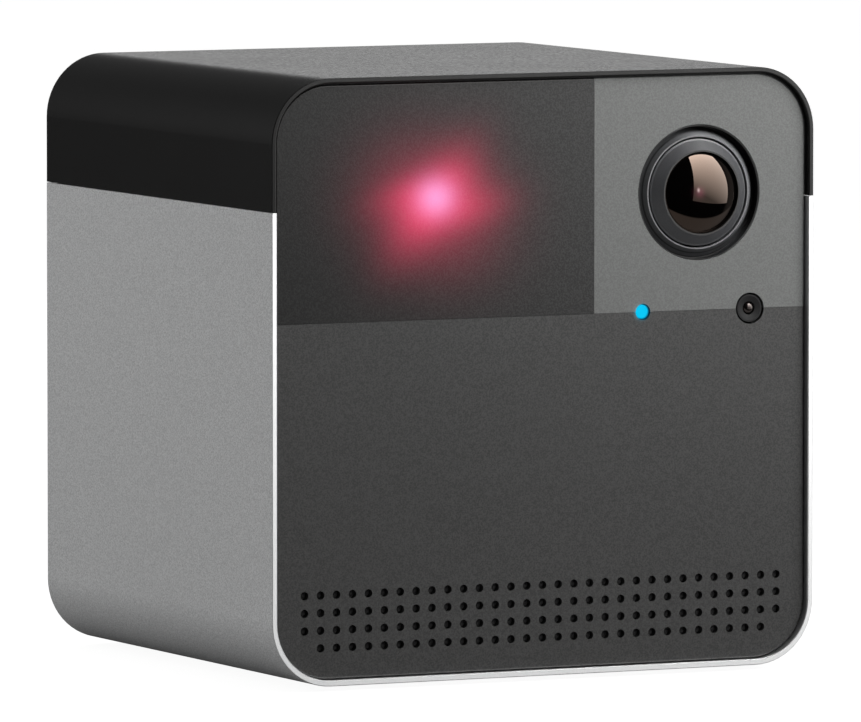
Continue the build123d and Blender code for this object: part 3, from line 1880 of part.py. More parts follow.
makers = [
    make_lower_wrap,
    make_top_cover,
    make_chassis,
    make_front_carrier,
    make_speaker_grille,
    make_laser_window,
    make_camera_panel,
    make_acoustic_mesh,
    make_rear_cover,
    make_base_pad,
    make_tripod_insert,
    make_lens_trim,
    make_lens_barrel,
    make_lens_dome,
    make_lens_elements,
    make_lens_mount,
    make_filter_slide,
    make_image_sensor,
    make_camera_board,
    make_status_light_pipe,
    make_light_sensor_bezel,
    make_light_sensor_lens,
    make_front_board,
    make_ir_board,
    make_ir_leds,
    make_speaker_gasket,
    make_speaker_frame,
    make_speaker_surround,
    make_speaker_cone,
    make_speaker_magnet,
    make_speaker_chamber,
    make_microphones,
    make_main_board,
    make_board_chips,
    make_heat_sink,
    make_wifi_shield,
    make_antennas,
    make_usb_socket,
    make_reset_button,
    make_gimbal_bracket,
    make_pan_shaft,
    make_pan_motor,
    make_pan_pinion,
    make_pan_gear,
    make_yoke,
    make_pan_bush,
    make_tilt_bushes,
    make_tilt_motor,
    make_tilt_pinion,
    make_tilt_sector,
    make_laser_cradle,
    make_laser_barrel,
    make_laser_lens,
    make_laser_diode,
    make_carrier_screws,
    make_rear_screws,
    make_base_screws,
    make_board_screws,
    make_speaker_screws,
    make_gimbal_screws,
]


def main():
    os.makedirs("parts", exist_ok=True)
    for make in makers:
        make()
    for name, shape in parts.items():
        export_step(shape, f"parts/{name}.step")


main()
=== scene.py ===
"""Looks of the cube-shaped pet camera: finishes, small added pieces, studio and camera.

Metres, in the CAD model's frame: the front faces -Y and the rubber pad stands on z = 0.
Finish patterns are written in millimetres of the same frame.
"""

import math

import bmesh
import bpy
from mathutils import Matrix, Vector


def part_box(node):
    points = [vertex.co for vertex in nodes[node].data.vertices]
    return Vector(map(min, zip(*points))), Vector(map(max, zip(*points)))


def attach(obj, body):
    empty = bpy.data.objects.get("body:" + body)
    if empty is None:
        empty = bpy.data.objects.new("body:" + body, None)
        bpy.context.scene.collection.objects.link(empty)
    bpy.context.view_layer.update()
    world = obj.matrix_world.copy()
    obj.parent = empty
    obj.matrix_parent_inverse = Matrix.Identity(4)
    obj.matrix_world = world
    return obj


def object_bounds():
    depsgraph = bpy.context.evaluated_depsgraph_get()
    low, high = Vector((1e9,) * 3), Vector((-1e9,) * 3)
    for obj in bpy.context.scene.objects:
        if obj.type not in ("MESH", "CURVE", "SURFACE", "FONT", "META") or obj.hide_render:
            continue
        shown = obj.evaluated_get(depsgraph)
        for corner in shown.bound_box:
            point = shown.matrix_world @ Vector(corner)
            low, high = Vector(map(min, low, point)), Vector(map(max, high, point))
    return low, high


MM = 0.001

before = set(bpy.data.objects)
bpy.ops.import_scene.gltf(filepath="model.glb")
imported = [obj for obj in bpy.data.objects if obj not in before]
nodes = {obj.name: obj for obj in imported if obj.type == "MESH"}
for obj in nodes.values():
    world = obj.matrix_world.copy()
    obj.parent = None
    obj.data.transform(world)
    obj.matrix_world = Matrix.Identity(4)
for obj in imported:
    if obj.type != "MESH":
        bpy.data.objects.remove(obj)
cad_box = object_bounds()


# ------------------------------------------------------------ shader writing


class Tap:
    """A shader socket that takes part in arithmetic."""

    def __init__(self, finish, socket):
        self.finish = finish
        self.socket = socket

    def _with(self, operation, first, second=None):
        return self.finish.maths(operation, first, second)

    def __add__(self, other):
        return self._with("ADD", self, other)

    __radd__ = __add__

    def __mul__(self, other):
        return self._with("MULTIPLY", self, other)

    def __sub__(self, other):
        return self._with("SUBTRACT", self, other)

    def __rsub__(self, other):
        return self._with("SUBTRACT", other, self)

    def __truediv__(self, other):
        return self._with("DIVIDE", self, other)

    def __abs__(self):
        return self._with("ABSOLUTE", self)

    def __gt__(self, other):
        return self._with("GREATER_THAN", self, other)

    def __lt__(self, other):
        return self._with("LESS_THAN", self, other)

    def sin(self):
        return self._with("SINE", self)

    def exp(self):
        return self._with("EXPONENT", self)

    def root(self):
        return self._with("SQRT", self)

    def fraction(self):
        return self._with("FRACT", self)

    def rounded(self):
        return self._with("ROUND", self)

    def most(self, other):
        return self._with("MAXIMUM", self, other)

    def step(self, low, high):
        """0 below low, 1 above high, smooth between them."""
        return self.finish.node(
            "ShaderNodeMapRange",
            {"interpolation_type": "SMOOTHSTEP"},
            {"Value": self, "From Min": low, "From Max": high, "To Min": 0.0, "To Max": 1.0},
        )

    def band(self, low, high, fade):
        """1 between low and high, fading over a width beyond each."""
        return self.step(low, low + fade) * (1 - self.step(high, high + fade))


class Finish:
    """A node tree of a material, a world or a mesh, written as expressions."""

    def __init__(self, tree):
        self.tree = tree
        self.tree.nodes.clear()

    def node(self, kind, settings=None, sockets=None, output=0):
        """Adds a node: its settings come first, then its sockets' values or links."""
        made = self.tree.nodes.new(kind)
        for name, value in (settings or {}).items():
            setattr(made, name, value)
        for name, value in (sockets or {}).items():
            self.plug(made.inputs[name], value)
        return Tap(self, made.outputs[output]) if made.outputs else made

    def plug(self, socket, value):
        if isinstance(value, Tap):
            self.tree.links.new(value.socket, socket)
        elif socket.type == "RGBA" and len(value) == 3:
            socket.default_value = (*value, 1.0)
        else:
            socket.default_value = value

    def maths(self, operation, first, second=None):
        sockets = {0: first}
        if second is not None:
            sockets[1] = second
        return self.node("ShaderNodeMath", {"operation": operation}, sockets)

    def vector(self, operation, first, second=None, output=0, **more):
        sockets = {0: first, **more}
        if second is not None:
            sockets[1] = second
        return self.node("ShaderNodeVectorMath", {"operation": operation}, sockets, output)

    def parts(self, vector, axes="XYZ"):
        """The named components of a vector, in that order."""
        return [
            self.node("ShaderNodeSeparateXYZ", sockets={"Vector": vector}, output=axis)
            for axis in axes
        ]

    def geometry(self, output):
        return self.node("ShaderNodeNewGeometry", output=output)

    def place(self):
        """The point on the object, in millimetres."""
        metres = self.node("ShaderNodeTexCoord", output="Object")
        return self.vector("SCALE", metres, Scale=1.0 / MM)

    def mix(self, factor, first, second):
        """Colour between first and second."""
        return self.node(
            "ShaderNodeMix",
            {"data_type": "RGBA"},
            {"Factor": factor, "A": first, "B": second},
            "Result",
        )

    def swing(self, factor, first, second):
        """Direction between first and second."""
        return self.node(
            "ShaderNodeMix", {"data_type": "VECTOR"}, {"Factor": factor, 4: first, 5: second}, 1
        )

    def grain(self, spot, size, detail=2.0, rough=0.5, stretch=None):
        """Even noise from 0 to 1 whose patches are about size millimetres across."""
        if stretch:
            spot = self.vector("MULTIPLY", spot, stretch)
        return self.node(
            "ShaderNodeTexNoise",
            {"noise_dimensions": "3D"},
            {"Vector": spot, "Scale": 1.0 / size, "Detail": detail, "Roughness": rough},
            "Fac",
        )

    def bump(self, height, distance, strength=1.0):
        """Relief of height 0 to 1, distance millimetres deep."""
        return self.node(
            "ShaderNodeBump",
            None,
            {"Height": height, "Distance": distance * MM, "Strength": strength},
            "Normal",
        )

    def level(self, value, low, high):
        """Maps 0 to 1 onto low to high."""
        return value * (high - low) + low

    def emission(self, colour, strength):
        return self.node("ShaderNodeEmission", None, {"Color": colour, "Strength": strength})

    def diffuse(self, colour):
        return self.node("ShaderNodeBsdfDiffuse", None, {"Color": colour})

    def blend(self, factor, first, second):
        """Shader between first and second."""
        return self.node("ShaderNodeMixShader", None, {"Fac": factor, 1: first, 2: second})


def dim(colour, factor):
    return tuple(part * factor for part in colour)


def srgb(red, green, blue):
    """Linear colour from display values of 0 to 255."""

    def linear(part):
        part /= 255
        return part / 12.92 if part <= 0.04045 else ((part + 0.055) / 1.055) ** 2.4

    return (linear(red), linear(green), linear(blue))


class Material(Finish):
    """A surface finish: a Principled shader with set and painted sockets."""

    def __init__(self, name, **constants):
        self.material = bpy.data.materials.new(name)
        self.material.use_nodes = True
        super().__init__(self.material.node_tree)
        self.surface = self.tree.nodes.new("ShaderNodeBsdfPrincipled")
        self.output = self.tree.nodes.new("ShaderNodeOutputMaterial")
        self.tree.links.new(self.surface.outputs[0], self.output.inputs["Surface"])
        for socket, value in constants.items():
            self.paint(socket.replace("_", " "), value)

    def paint(self, socket, value):
        self.plug(self.surface.inputs[socket], value)


def give(material, *names):
    """Puts a finish on CAD nodes."""
    for name in names:
        mesh = nodes[name].data
        if not mesh.materials:
            mesh.materials.append(material.material)
        for number in range(len(mesh.materials)):
            mesh.materials[number] = material.material
        nodes[name].active_material_index = 0


# ------------------------------------------------------------ places on the object, in millimetres


def middle(name):
    """Middle of a node's box."""
    low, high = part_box(name)
    return tuple((a + b) / 2 / MM for a, b in zip(low, high))


lens_x, _, lens_z = middle("lens_trim")
light_x, _, light_z = middle("status_light_pipe")
speaker_z = middle("speaker_cone")[2]
body_side = cad_box[1][0] / MM
body_top = cad_box[1][2] / MM
body_middle = body_top - body_side
rim_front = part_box("lower_wrap")[0][1] / MM
rim_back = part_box("lower_wrap")[1][1] / MM
window_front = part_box("laser_window")[0][1] / MM
dome_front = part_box("lens_dome")[0][1] / MM
corner_radius = 9.7
corner_straight = body_side - corner_radius
skin_depth, inside_depth = 0.2, 0.5  # under the wrap's outside
dome_radius = 10.5
dome_depth = 2.2
trim_lip = 8.45
# radius of the trim's painted shade: near black past it on the side away from the light
trim_painted_shade = 9.3
barrel_bore = 6.5
left_lip = (-45.0, -37.0)
laser_x, laser_z = -17.87, 73.06
beyond_all = 99.0  # a radius that no ring reaches

# finish patterns that several materials share, in millimetres
face_depth, face_fade = 0.12, 0.1
blast_grain = 0.22
paint_grain = 0.24
plastic_ior = 1.5


def on_front(y):
    """1 on the rims at the very front, 0 behind them."""
    return (rim_front + face_depth - y).step(0.0, face_fade)


def on_face(height):
    """1 on a flat face, 0 below it, from the height above that face."""
    return (height + face_depth).step(0.0, face_fade)


# ------------------------------------------------------------ finishes of the outside


def blasted_silver():
    """Bead-blasted, anodised aluminium with bare machined rims and inside."""
    silver = Material("blasted_silver", IOR=plastic_ior)
    spot = silver.place()
    x, y, z = silver.parts(spot)
    fine = silver.grain(spot, blast_grain, 1.0)
    cloud = silver.grain(spot, 12.0)
    out_x = (abs(x) - corner_straight).most(0.0)
    out_z = (abs(z - body_middle) - corner_straight).most(0.0)
    out = (out_x * out_x + out_z * out_z).root()
    inside = 1 - out.step(corner_radius - inside_depth, corner_radius - skin_depth)
    front = on_front(y)
    rim = front.most(on_face(y - rim_back))
    bare = inside.most(rim)
    bare_inside = inside * (1 - rim)
    base = silver.mix(fine.step(0.3, 0.7), srgb(206, 207, 208), srgb(244, 245, 246))
    base = silver.mix(cloud * 0.08, base, srgb(208, 210, 213))
    cut = silver.mix(fine, srgb(230, 231, 232), srgb(242, 243, 244))
    silver.paint("Base Color", silver.mix(bare, base, cut))
    skin_metal, rim_metal, inside_metal = 0.12, 0.45, 0.75
    silver.paint("Metallic", rim * rim_metal + bare_inside * inside_metal + skin_metal)
    rim_rough, inside_rough = 0.36, 0.3
    blasted = silver.level(fine, 0.5, 0.62) * (1 - bare)
    silver.paint("Roughness", blasted + rim * rim_rough + bare_inside * inside_rough)
    flat = silver.bump(fine * (1 - bare), 0.012, 0.5)
    bevel = (0.2, 0.0, 0.12)
    bevelled = silver.vector("NORMALIZE", silver.vector("ADD", flat, bevel))
    silver.paint("Normal", silver.swing(front, flat, bevelled))
    return silver


def satin_black(name, colour, rough, depth, lip_colour, lip_rough):
    """Moulded plastic, a little wavy and finely spark-eroded, with a matt front lip that has
    painted light and shade on its left side.
    """
    plastic = Material(name, IOR=plastic_ior)
    spot = plastic.place()
    x, y, z = plastic.parts(spot)
    fine = plastic.grain(spot, blast_grain, 1.0)
    peel = plastic.grain(spot, 0.5, 1.0)
    cloud = plastic.grain(spot, 14.0)
    speck = fine.step(0.25, 0.75)
    lip = on_front(y)
    tone = plastic.mix(speck, dim(colour, 0.72), dim(colour, 1.3))
    tone = plastic.mix(cloud * 0.2, tone, dim(colour, 1.3))
    matt = plastic.mix(speck, dim(lip_colour, 0.8), dim(lip_colour, 1.2))
    # painted light and shade on the left lip: faces turned to the right are painted three times
    # lighter, its other faces painted at a quarter of the tone
    left = 1 - x.step(*left_lip)
    (inward,) = plastic.parts(plastic.geometry("Normal"), "X")
    shaded, lit = dim(lip_colour, 0.25), dim(lip_colour, 3.0)
    matt = plastic.mix(left, matt, plastic.mix(inward.step(0.3, 0.6), shaded, lit))
    plastic.paint("Base Color", plastic.mix(lip, tone, matt))
    flat_top = on_face(z - body_top)
    sheen = 0.012
    top_sparkle, left_gloss = 0.17, 0.15
    satin = plastic.level(cloud, rough - sheen, rough + sheen)
    satin = satin + (peel - 0.5) * flat_top * top_sparkle
    plastic.paint("Roughness", satin * (1 - lip) + lip * (lip_rough - left * left_gloss))
    side_waves, top_waves = 0.6, 1.5
    waves = (peel - 0.5) * (flat_top * top_waves + side_waves)
    plastic.paint("Normal", plastic.bump(fine * 0.4 + waves, depth, 0.5))
    return plastic


def plate_finish(name, colour, rough, spread):
    """Painted front plate: a very fine matt speckle, with the status light's cyan glow painted
    round it as emission.
    """
    plate = Material(name, IOR=plastic_ior, Specular_IOR_Level=1.0, Emission_Strength=1.0)
    spot = plate.place()
    x, z = plate.parts(spot, "XZ")
    speck = plate.grain(spot, paint_grain, 1.5, 0.6)
    cloud = plate.grain(spot, 22.0, 1.0)
    tone = plate.mix(speck.step(0.3, 0.7), dim(colour, 1 - spread), dim(colour, 1 + spread))
    tone = plate.mix(cloud * 0.2, tone, dim(colour, 1.12))
    plate.paint("Base Color", tone)
    plate.paint("Roughness", plate.level(speck, rough - 0.04, rough + 0.04))
    plate.paint("Normal", plate.bump(speck, 0.018, 0.6))
    # painted light: the status light's cyan glow on the plate, as emission falling off with
    # distance from it
    across, up = x - light_x + 0.3, z - light_z
    painted_spill_colour, painted_spill_level, painted_spill_fall = (0.01, 0.3, 0.42), 2.4, -1.8
    painted_spill = ((across * across + up * up) * painted_spill_fall).exp() * painted_spill_level
    plate.paint("Emission Color", plate.vector("SCALE", painted_spill_colour, Scale=painted_spill))
    return plate


# soft lobes of painted light: centre across and up, half sizes, turn in degrees, strength
painted_haze_lobes = (
    (-0.4, -0.5, 7.1, 5.9, -17.0, 0.255),
    (-0.6, 0.1, 5.9, 2.7, 51.0, 0.384),
    (-2.3, 1.85, 4.8, 1.85, 13.0, 0.31),
    (2.7, -1.0, 5.1, 2.2, 7.0, 0.351),
)
painted_core_lobe = (-0.1, 0.7, 2.15, 1.95, 0.0, 1.0)
painted_haze_colour = (1.0, 0.045, 0.155)
painted_core_colour = (0.0, 0.26, 0.48)
painted_glint_lobe = (-1.32, 0.5, 0.13, 0.2, 0.0, 0.45)
painted_halo_lobe = (-1.1, 0.2, 0.5, 0.55, 0.0, 0.1)
painted_glint_colour = (1.0, 0.8, 0.78)
painted_halo_colour = (1.0, 0.25, 0.4)


def lobe(finish, across, up, shape):
    """Height of one soft lobe at a point of the front."""
    centre_x, centre_z, half_x, half_z, turn, strength = shape
    c, s = math.cos(math.radians(turn)), math.sin(math.radians(turn))
    along = ((across - centre_x) * c + (up - centre_z) * s) / half_x
    beside = ((up - centre_z) * c - (across - centre_x) * s) / half_z
    return ((along * along + beside * beside) * -0.5).exp() * strength


def smoked_window():
    """Smoked acrylic with painted light: lighter towards the right, and a painted red glow of the
    laser's spot as emission.
    """
    window = Material(
        "smoked_window", IOR=plastic_ior, Specular_IOR_Level=0.6, Emission_Strength=1.0
    )
    spot = window.place()
    x, y, z = window.parts(spot)
    speck = window.grain(spot, paint_grain, 1.5, 0.6)
    cloud = window.grain(spot, 22.0, 1.0)
    # painted light: the base is darker on the left and lighter towards the right, where the key
    # light falls
    clear = x.step(-46.0, 10.0)
    dark = window.mix(clear, srgb(8, 8, 8), srgb(28, 28, 28))
    light = window.mix(clear, srgb(38, 38, 38), srgb(56, 56, 56))
    tone = window.mix(speck.step(0.35, 0.68), dark, light)
    window.paint("Base Color", window.mix(cloud * 0.15, tone, light))
    window.paint("Roughness", window.level(speck, 0.26, 0.34))
    window.paint("Normal", window.bump(speck, 0.018, 0.6))
    # painted glow of the laser's spot: red lobes round a paler centre, as emission on the front
    # face
    across, up = x - laser_x, z - laser_z
    painted_haze = sum(lobe(window, across, up, shape) for shape in painted_haze_lobes)
    painted_core = lobe(window, across, up, painted_core_lobe)
    front = y < window_front + 0.5
    glow = window.vector("SCALE", painted_haze_colour, Scale=painted_haze * front)
    glow = window.vector("ADD", glow, window.vector("SCALE", painted_core_colour, Scale=painted_core * front))
    window.paint("Emission Color", glow)
    return window


def lens_coating():
    """Black multi-coated front glass with a warm reflection and a small painted glint in a pink
    halo.
    """
    glass = Material(
        "coated_front_glass",
        IOR=1.86,
        Specular_Tint=(1.0, 0.74, 0.6),
        Specular_IOR_Level=0.5,
        Emission_Strength=1.0,
    )
    spot = glass.place()
    x, y, z = glass.parts(spot)
    ball = (lens_x, dome_front + dome_radius, lens_z)
    curve = glass.vector("NORMALIZE", glass.vector("SUBTRACT", spot, ball))
    flat = glass.geometry("Normal")
    inner = y > dome_front + dome_depth
    glass.paint("Normal", glass.swing(inner, curve, flat))
    smear = glass.grain(spot, 3.5, 3.0)
    glass.paint("Base Color", glass.mix(smear, (0.0004, 0.0004, 0.0005), (0.0012, 0.001, 0.001)))
    glass.paint("Roughness", glass.level(smear.step(0.35, 0.8), 0.01, 0.035))
    # painted highlight: a small glint with a pink halo, as emission on the front of the dome
    across, up = x - lens_x, z - lens_z
    spark = lobe(glass, across, up, painted_glint_lobe)
    painted_halo = lobe(glass, across, up, painted_halo_lobe)
    glint = glass.vector("SCALE", painted_glint_colour, Scale=spark * (1 - inner))
    painted_halo = glass.vector("SCALE", painted_halo_colour, Scale=painted_halo * (1 - inner))
    glass.paint("Emission Color", glass.vector("ADD", glint, painted_halo))
    return glass


def ring_black(name, tone, gloss, rough, painted_highlight_start=beyond_all, bore=0.0, stain_and_painted_shade=beyond_all):
    """Turned black ring: faint tool marks, dark in its bore, and a painted highlight line at its
    lip.

    From the shade radius out, the side away from the light is painted near black, with a band of
    painted light just inside;
    the other side has painted dark rings at that radius and at its edge.
    """
    ring = Material(name, IOR=plastic_ior, Specular_IOR_Level=gloss)
    spot = ring.place()
    x, y, z = ring.parts(spot)
    across, up = x - lens_x, z - lens_z
    radius = (across * across + up * up).root()
    past_painted_highlight, past_bore, past_painted_shade = radius - painted_highlight_start, radius - bore, radius - stain_and_painted_shade
    marks_out, marks_deep = 38.0, 30.0
    mark = (radius * marks_out + y * marks_deep).sin() * 0.5 + 0.5
    speck = ring.grain(spot, 0.25)
    painted_highlight_width, sharp = 0.2, 0.02
    # painted highlight: a bright line along the lip, in the base colour
    lip = past_painted_highlight.step(-sharp, sharp) * (1 - past_painted_highlight.step(painted_highlight_width, painted_highlight_width + 2 * sharp))
    colour = ring.mix(speck, dim(tone, 0.75), dim(tone, 1.25))
    colour = ring.mix(past_bore.step(-2 * sharp, 2 * sharp), srgb(16, 15, 14), colour)
    # painted light and shade: on the side up and to the right, painted shadow past the shade
    # radius and a band of painted light just inside it
    away_x, away_z = 0.85, 0.53
    turned = (across * away_x + up * away_z) / radius.most(0.1)
    away = turned.step(0.0, 0.6)
    inner_width = 1.0
    outer = past_painted_shade.step(-0.15, 0.25) * away
    inner = (1 - past_painted_shade.step(-0.3, 0.1)) * away
    inner = inner * (past_painted_shade + inner_width).step(0.0, 0.1)
    colour = ring.mix(outer, colour, srgb(6, 6, 6))
    colour = ring.mix(inner, colour, dim(tone, 2.4))
    # painted shade: a dark ring line at the shade radius and a dark edge further out, on the side
    # down and to the left
    painted_groove_shade = 1 - abs(past_painted_shade + 0.05).step(0.04, 0.14)
    edge = past_painted_shade.step(0.45, 0.6)
    facing = 1 - turned.step(-0.2, 0.4)
    colour = ring.mix(painted_groove_shade.most(edge) * facing, colour, dim(tone, 0.15))
    ring.paint("Base Color", ring.mix(lip, colour, srgb(130, 130, 133)))
    ring.paint("Roughness", ring.level(mark * 0.5 + speck * 0.5, rough - 0.05, rough + 0.05))
    ring.paint("Normal", ring.bump(mark, 0.004, 0.35))
    return ring


def woven_mesh():
    """Fine black acoustic cloth: over-and-under threads."""
    woven = Material("acoustic_cloth", Sheen_Weight=0.2, Sheen_Roughness=0.5)
    x, z = woven.parts(woven.place(), "XZ")
    pitch = 0.16
    warp = (x * (math.pi / pitch)).sin()
    weft = (z * (math.pi / pitch)).sin()
    weave = abs(warp) * 0.5 + abs(weft) * 0.5
    colour = srgb(56, 56, 57)
    woven.paint("Base Color", woven.mix(weave, dim(colour, 0.3), colour))
    woven.paint("Roughness", woven.level(weave, 0.95, 0.7))
    woven.paint("Normal", woven.bump(weave, 0.05, 0.8))
    return woven


def rubber():
    """Soft black rubber with a fine stipple and a little dust."""
    pad = Material("foot_rubber")
    spot = pad.place()
    stipple = pad.grain(spot, 0.35, 2.0, 0.6)
    dust = pad.grain(spot, 6.0, 4.0, 0.6)
    tone = pad.mix(stipple, srgb(20, 20, 20), srgb(33, 33, 33))
    pad.paint("Base Color", pad.mix(dust.step(0.5, 0.9) * 0.3, tone, srgb(62, 61, 58)))
    pad.paint("Roughness", pad.level(stipple, 0.72, 0.9))
    pad.paint("Normal", pad.bump(stipple, 0.05, 0.6))
    return pad


def cyan_light():
    """Frosted light guide lit cyan from behind, dimmer towards its rim."""
    guide = Material(
        "status_light", IOR=plastic_ior, Specular_IOR_Level=0.05, Emission_Strength=1.0
    )
    spot = guide.place()
    x, z = guide.parts(spot, "XZ")
    across, up = x - light_x + 0.2, z - light_z - 0.08
    off = (across * across + up * up).root()
    frost = guide.grain(spot, 0.2)
    glow = guide.mix(off.step(0.85, 1.25), srgb(0, 198, 244), srgb(0, 74, 112))
    glow = guide.mix(frost * 0.12, glow, srgb(10, 208, 250))
    guide.paint("Base Color", guide.mix(frost, srgb(1, 24, 34), srgb(2, 32, 44)))
    guide.paint("Emission Color", glow)
    guide.paint("Roughness", guide.level(frost, 0.35, 0.5))
    return guide


def dark_lens():
    """Little moulded dome over the light sensor."""
    bead = Material("sensor_dome", IOR=1.9, Specular_Tint=(1.0, 0.86, 0.82))
    cloud = bead.grain(bead.place(), 0.8)
    bead.paint("Base Color", bead.mix(cloud, (0.002, 0.002, 0.002), (0.006, 0.005, 0.005)))
    bead.paint("Roughness", bead.level(cloud, 0.08, 0.14))
    return bead


# ------------------------------------------------------------ finishes of the inside


def cast_metal(name, colour, rough, size=0.2, stretch=None):
    """Bare metal with machining marks or plating grain."""
    metal = Material(name, Metallic=1.0)
    spot = metal.place()
    mark = metal.grain(spot, size, 3.0, 0.6, stretch)
    stain_and_painted_shade = metal.grain(spot, 4.0, 3.0)
    tone = metal.mix(stain_and_painted_shade, dim(colour, 0.82), colour)
    metal.paint("Base Color", metal.mix(mark * 0.3, tone, dim(colour, 1.15)))
    metal.paint("Roughness", metal.level(mark, rough - 0.08, rough + 0.1))
    metal.paint("Normal", metal.bump(mark, 0.01, 0.4))
    return metal


def moulding(name, colour, rough, gloss=0.5, grain=0.3):
    """Plain moulded plastic or paper-like part with a light texture."""
    part = Material(name, Specular_IOR_Level=gloss)
    spot = part.place()
    fine = part.grain(spot, grain, 3.0, 0.6)
    flow = part.grain(spot, 7.0, stretch=(1.0, 0.4, 1.0))
    tone = part.mix(fine, dim(colour, 0.86), dim(colour, 1.1))
    part.paint("Base Color", part.mix(flow * 0.3, tone, dim(colour, 0.8)))
    part.paint("Roughness", part.level(flow, rough - 0.07, rough + 0.07))
    part.paint("Normal", part.bump(fine, 0.02, 0.4))
    return part


def circuit_green():
    """Solder resist over copper: lighter where the traces run."""
    board = Material("solder_resist", IOR=plastic_ior)
    spot = board.place()
    x, y, z = board.parts(spot)
    lane = (x * 1.1 + (z * 0.7).rounded()).fraction()
    cross = (y * 0.9 + z * 0.9 + (x * 0.35).rounded() * 0.5).fraction()
    trace = lane.band(0.42, 0.6, 0.04).most(cross.band(0.42, 0.58, 0.04))
    weave = board.grain(spot, 0.5)
    green = board.mix(weave, srgb(8, 46, 26), srgb(12, 56, 32))
    board.paint("Base Color", board.mix(trace * 0.6, green, srgb(30, 92, 50)))
    board.paint("Roughness", board.level(trace, 0.38, 0.3))
    board.paint("Normal", board.bump(trace, 0.035, 0.6))
    return board


def clear_glass(name, tint, ior):
    """Optical glass with a faint coating bloom."""
    glass = Material(name, IOR=ior, Transmission_Weight=1.0, Specular_Tint=tint)
    bloom = glass.grain(glass.place(), 2.5)
    glass.paint("Base Color", glass.mix(bloom, (0.93, 0.95, 0.96), (0.99, 0.99, 1.0)))
    glass.paint("Roughness", glass.level(bloom, 0.0, 0.02))
    return glass


def ribbed_cone():
    """Pressed speaker diaphragm with fine rings."""
    cone = Material("pressed_cone", Specular_IOR_Level=0.35)
    spot = cone.place()
    x, z = cone.parts(spot, "XZ")
    up = z - speaker_z
    off = (x * x + up * up).root()
    ring = (off * 4.2).sin() * 0.5 + 0.5
    fibre = cone.grain(spot, 0.5, 4.0, 0.6)
    cone.paint("Base Color", cone.mix(fibre, srgb(44, 44, 46), srgb(66, 66, 68)))
    cone.paint("Roughness", cone.level(fibre, 0.6, 0.85))
    cone.paint("Normal", cone.bump(ring * 0.6 + fibre * 0.4, 0.15, 0.5))
    return cone


# ------------------------------------------------------------ dressing the CAD nodes

silver = blasted_silver()
cover = satin_black("cover_black", srgb(23, 23, 23), 0.225, 0.006, srgb(40, 40, 40), 0.46)
rear = satin_black("rear_black", srgb(32, 32, 33), 0.5, 0.012, srgb(32, 32, 33), 0.5)
inner_black = moulding("inner_black", srgb(24, 24, 25), 0.55)
front_plate = plate_finish("front_plate", srgb(43, 43, 43), 0.46, 0.9)
camera_plate = plate_finish("camera_plate", srgb(103, 105, 104), 0.46, 0.2)
barrel_black = ring_black("barrel_black", srgb(76, 77, 80), 1.0, 0.42, bore=barrel_bore)
trim_black = ring_black("trim_black", srgb(76, 77, 79), 0.6, 0.42, trim_lip, stain_and_painted_shade=trim_painted_shade)
bezel_black = ring_black("bezel_black", srgb(33, 33, 34), 0.3, 0.6)
steel = cast_metal("zinc_steel", (0.56, 0.56, 0.57), 0.3)

give(silver, "lower_wrap")
give(cover, "top_cover")
give(rear, "rear_cover")
give(inner_black, "chassis", "front_carrier", "lens_mount", "speaker_chamber")
give(front_plate, "speaker_grille")
give(camera_plate, "camera_panel")
give(smoked_window(), "laser_window")
give(barrel_black, "lens_barrel")
give(trim_black, "lens_trim")
give(bezel_black, "light_sensor_bezel")
give(lens_coating(), "lens_dome")
cloth = woven_mesh()
give(cloth, "acoustic_mesh")
give(rubber(), "base_pad", "speaker_gasket", "speaker_surround")
give(cyan_light(), "status_light_pipe")
give(dark_lens(), "light_sensor_lens")
give(cast_metal("tripod_brass", (0.72, 0.48, 0.2), 0.32), "tripod_insert")
give(clear_glass("lens_glass", (0.75, 0.85, 1.0), 1.6), "lens_elements", "laser_lens")
give(moulding("filter_frame", srgb(30, 30, 32), 0.45), "filter_slide")
give(circuit_green(), "camera_board", "front_board", "ir_board", "main_board", "microphones")
give(moulding("chip_epoxy", srgb(22, 22, 23), 0.4, 0.4, 0.12), "board_chips", "image_sensor")
give(clear_glass("infrared_epoxy", (0.8, 0.8, 1.0), plastic_ior), "ir_leds")
give(cast_metal("pressed_basket", (0.34, 0.34, 0.36), 0.42), "speaker_frame")
give(ribbed_cone(), "speaker_cone")
give(cast_metal("nickel_magnet", (0.5, 0.49, 0.47), 0.35), "speaker_magnet")
give(cast_metal("black_heat_sink", (0.06, 0.06, 0.065), 0.5, 0.3, (0.2, 1.0, 1.0)), "heat_sink")
give(cast_metal("tinned_can", (0.6, 0.6, 0.6), 0.28, 0.4, (0.3, 1.0, 1.0)), "wifi_shield")
give(moulding("aerial_film", srgb(28, 26, 24), 0.35), "antennas")
give(cast_metal("socket_steel", (0.55, 0.55, 0.56), 0.26), "usb_socket")
give(moulding("button_black", srgb(18, 18, 19), 0.35), "reset_button")
give(steel, "gimbal_bracket", "pan_shaft")
give(
    cast_metal("black_screws", (0.07, 0.07, 0.075), 0.35),
    "carrier_screws",
    "rear_screws",
    "base_screws",
    "board_screws",
    "speaker_screws",
    "gimbal_screws",
)
give(
    cast_metal("motor_can", (0.5, 0.5, 0.51), 0.3, 0.3, (1.0, 1.0, 0.2)),
    "pan_motor",
    "tilt_motor",
)
give(
    moulding("white_acetal", srgb(214, 212, 204), 0.42),
    "pan_pinion",
    "pan_gear",
    "tilt_pinion",
    "tilt_sector",
)
give(moulding("grey_nylon", srgb(66, 67, 70), 0.5), "yoke", "laser_cradle")
give(cast_metal("sintered_bronze", (0.5, 0.34, 0.2), 0.45), "pan_bush", "tilt_bushes")
give(cast_metal("laser_brass", (0.66, 0.46, 0.22), 0.3), "laser_barrel", "laser_diode")


# ------------------------------------------------------------ seal round the front

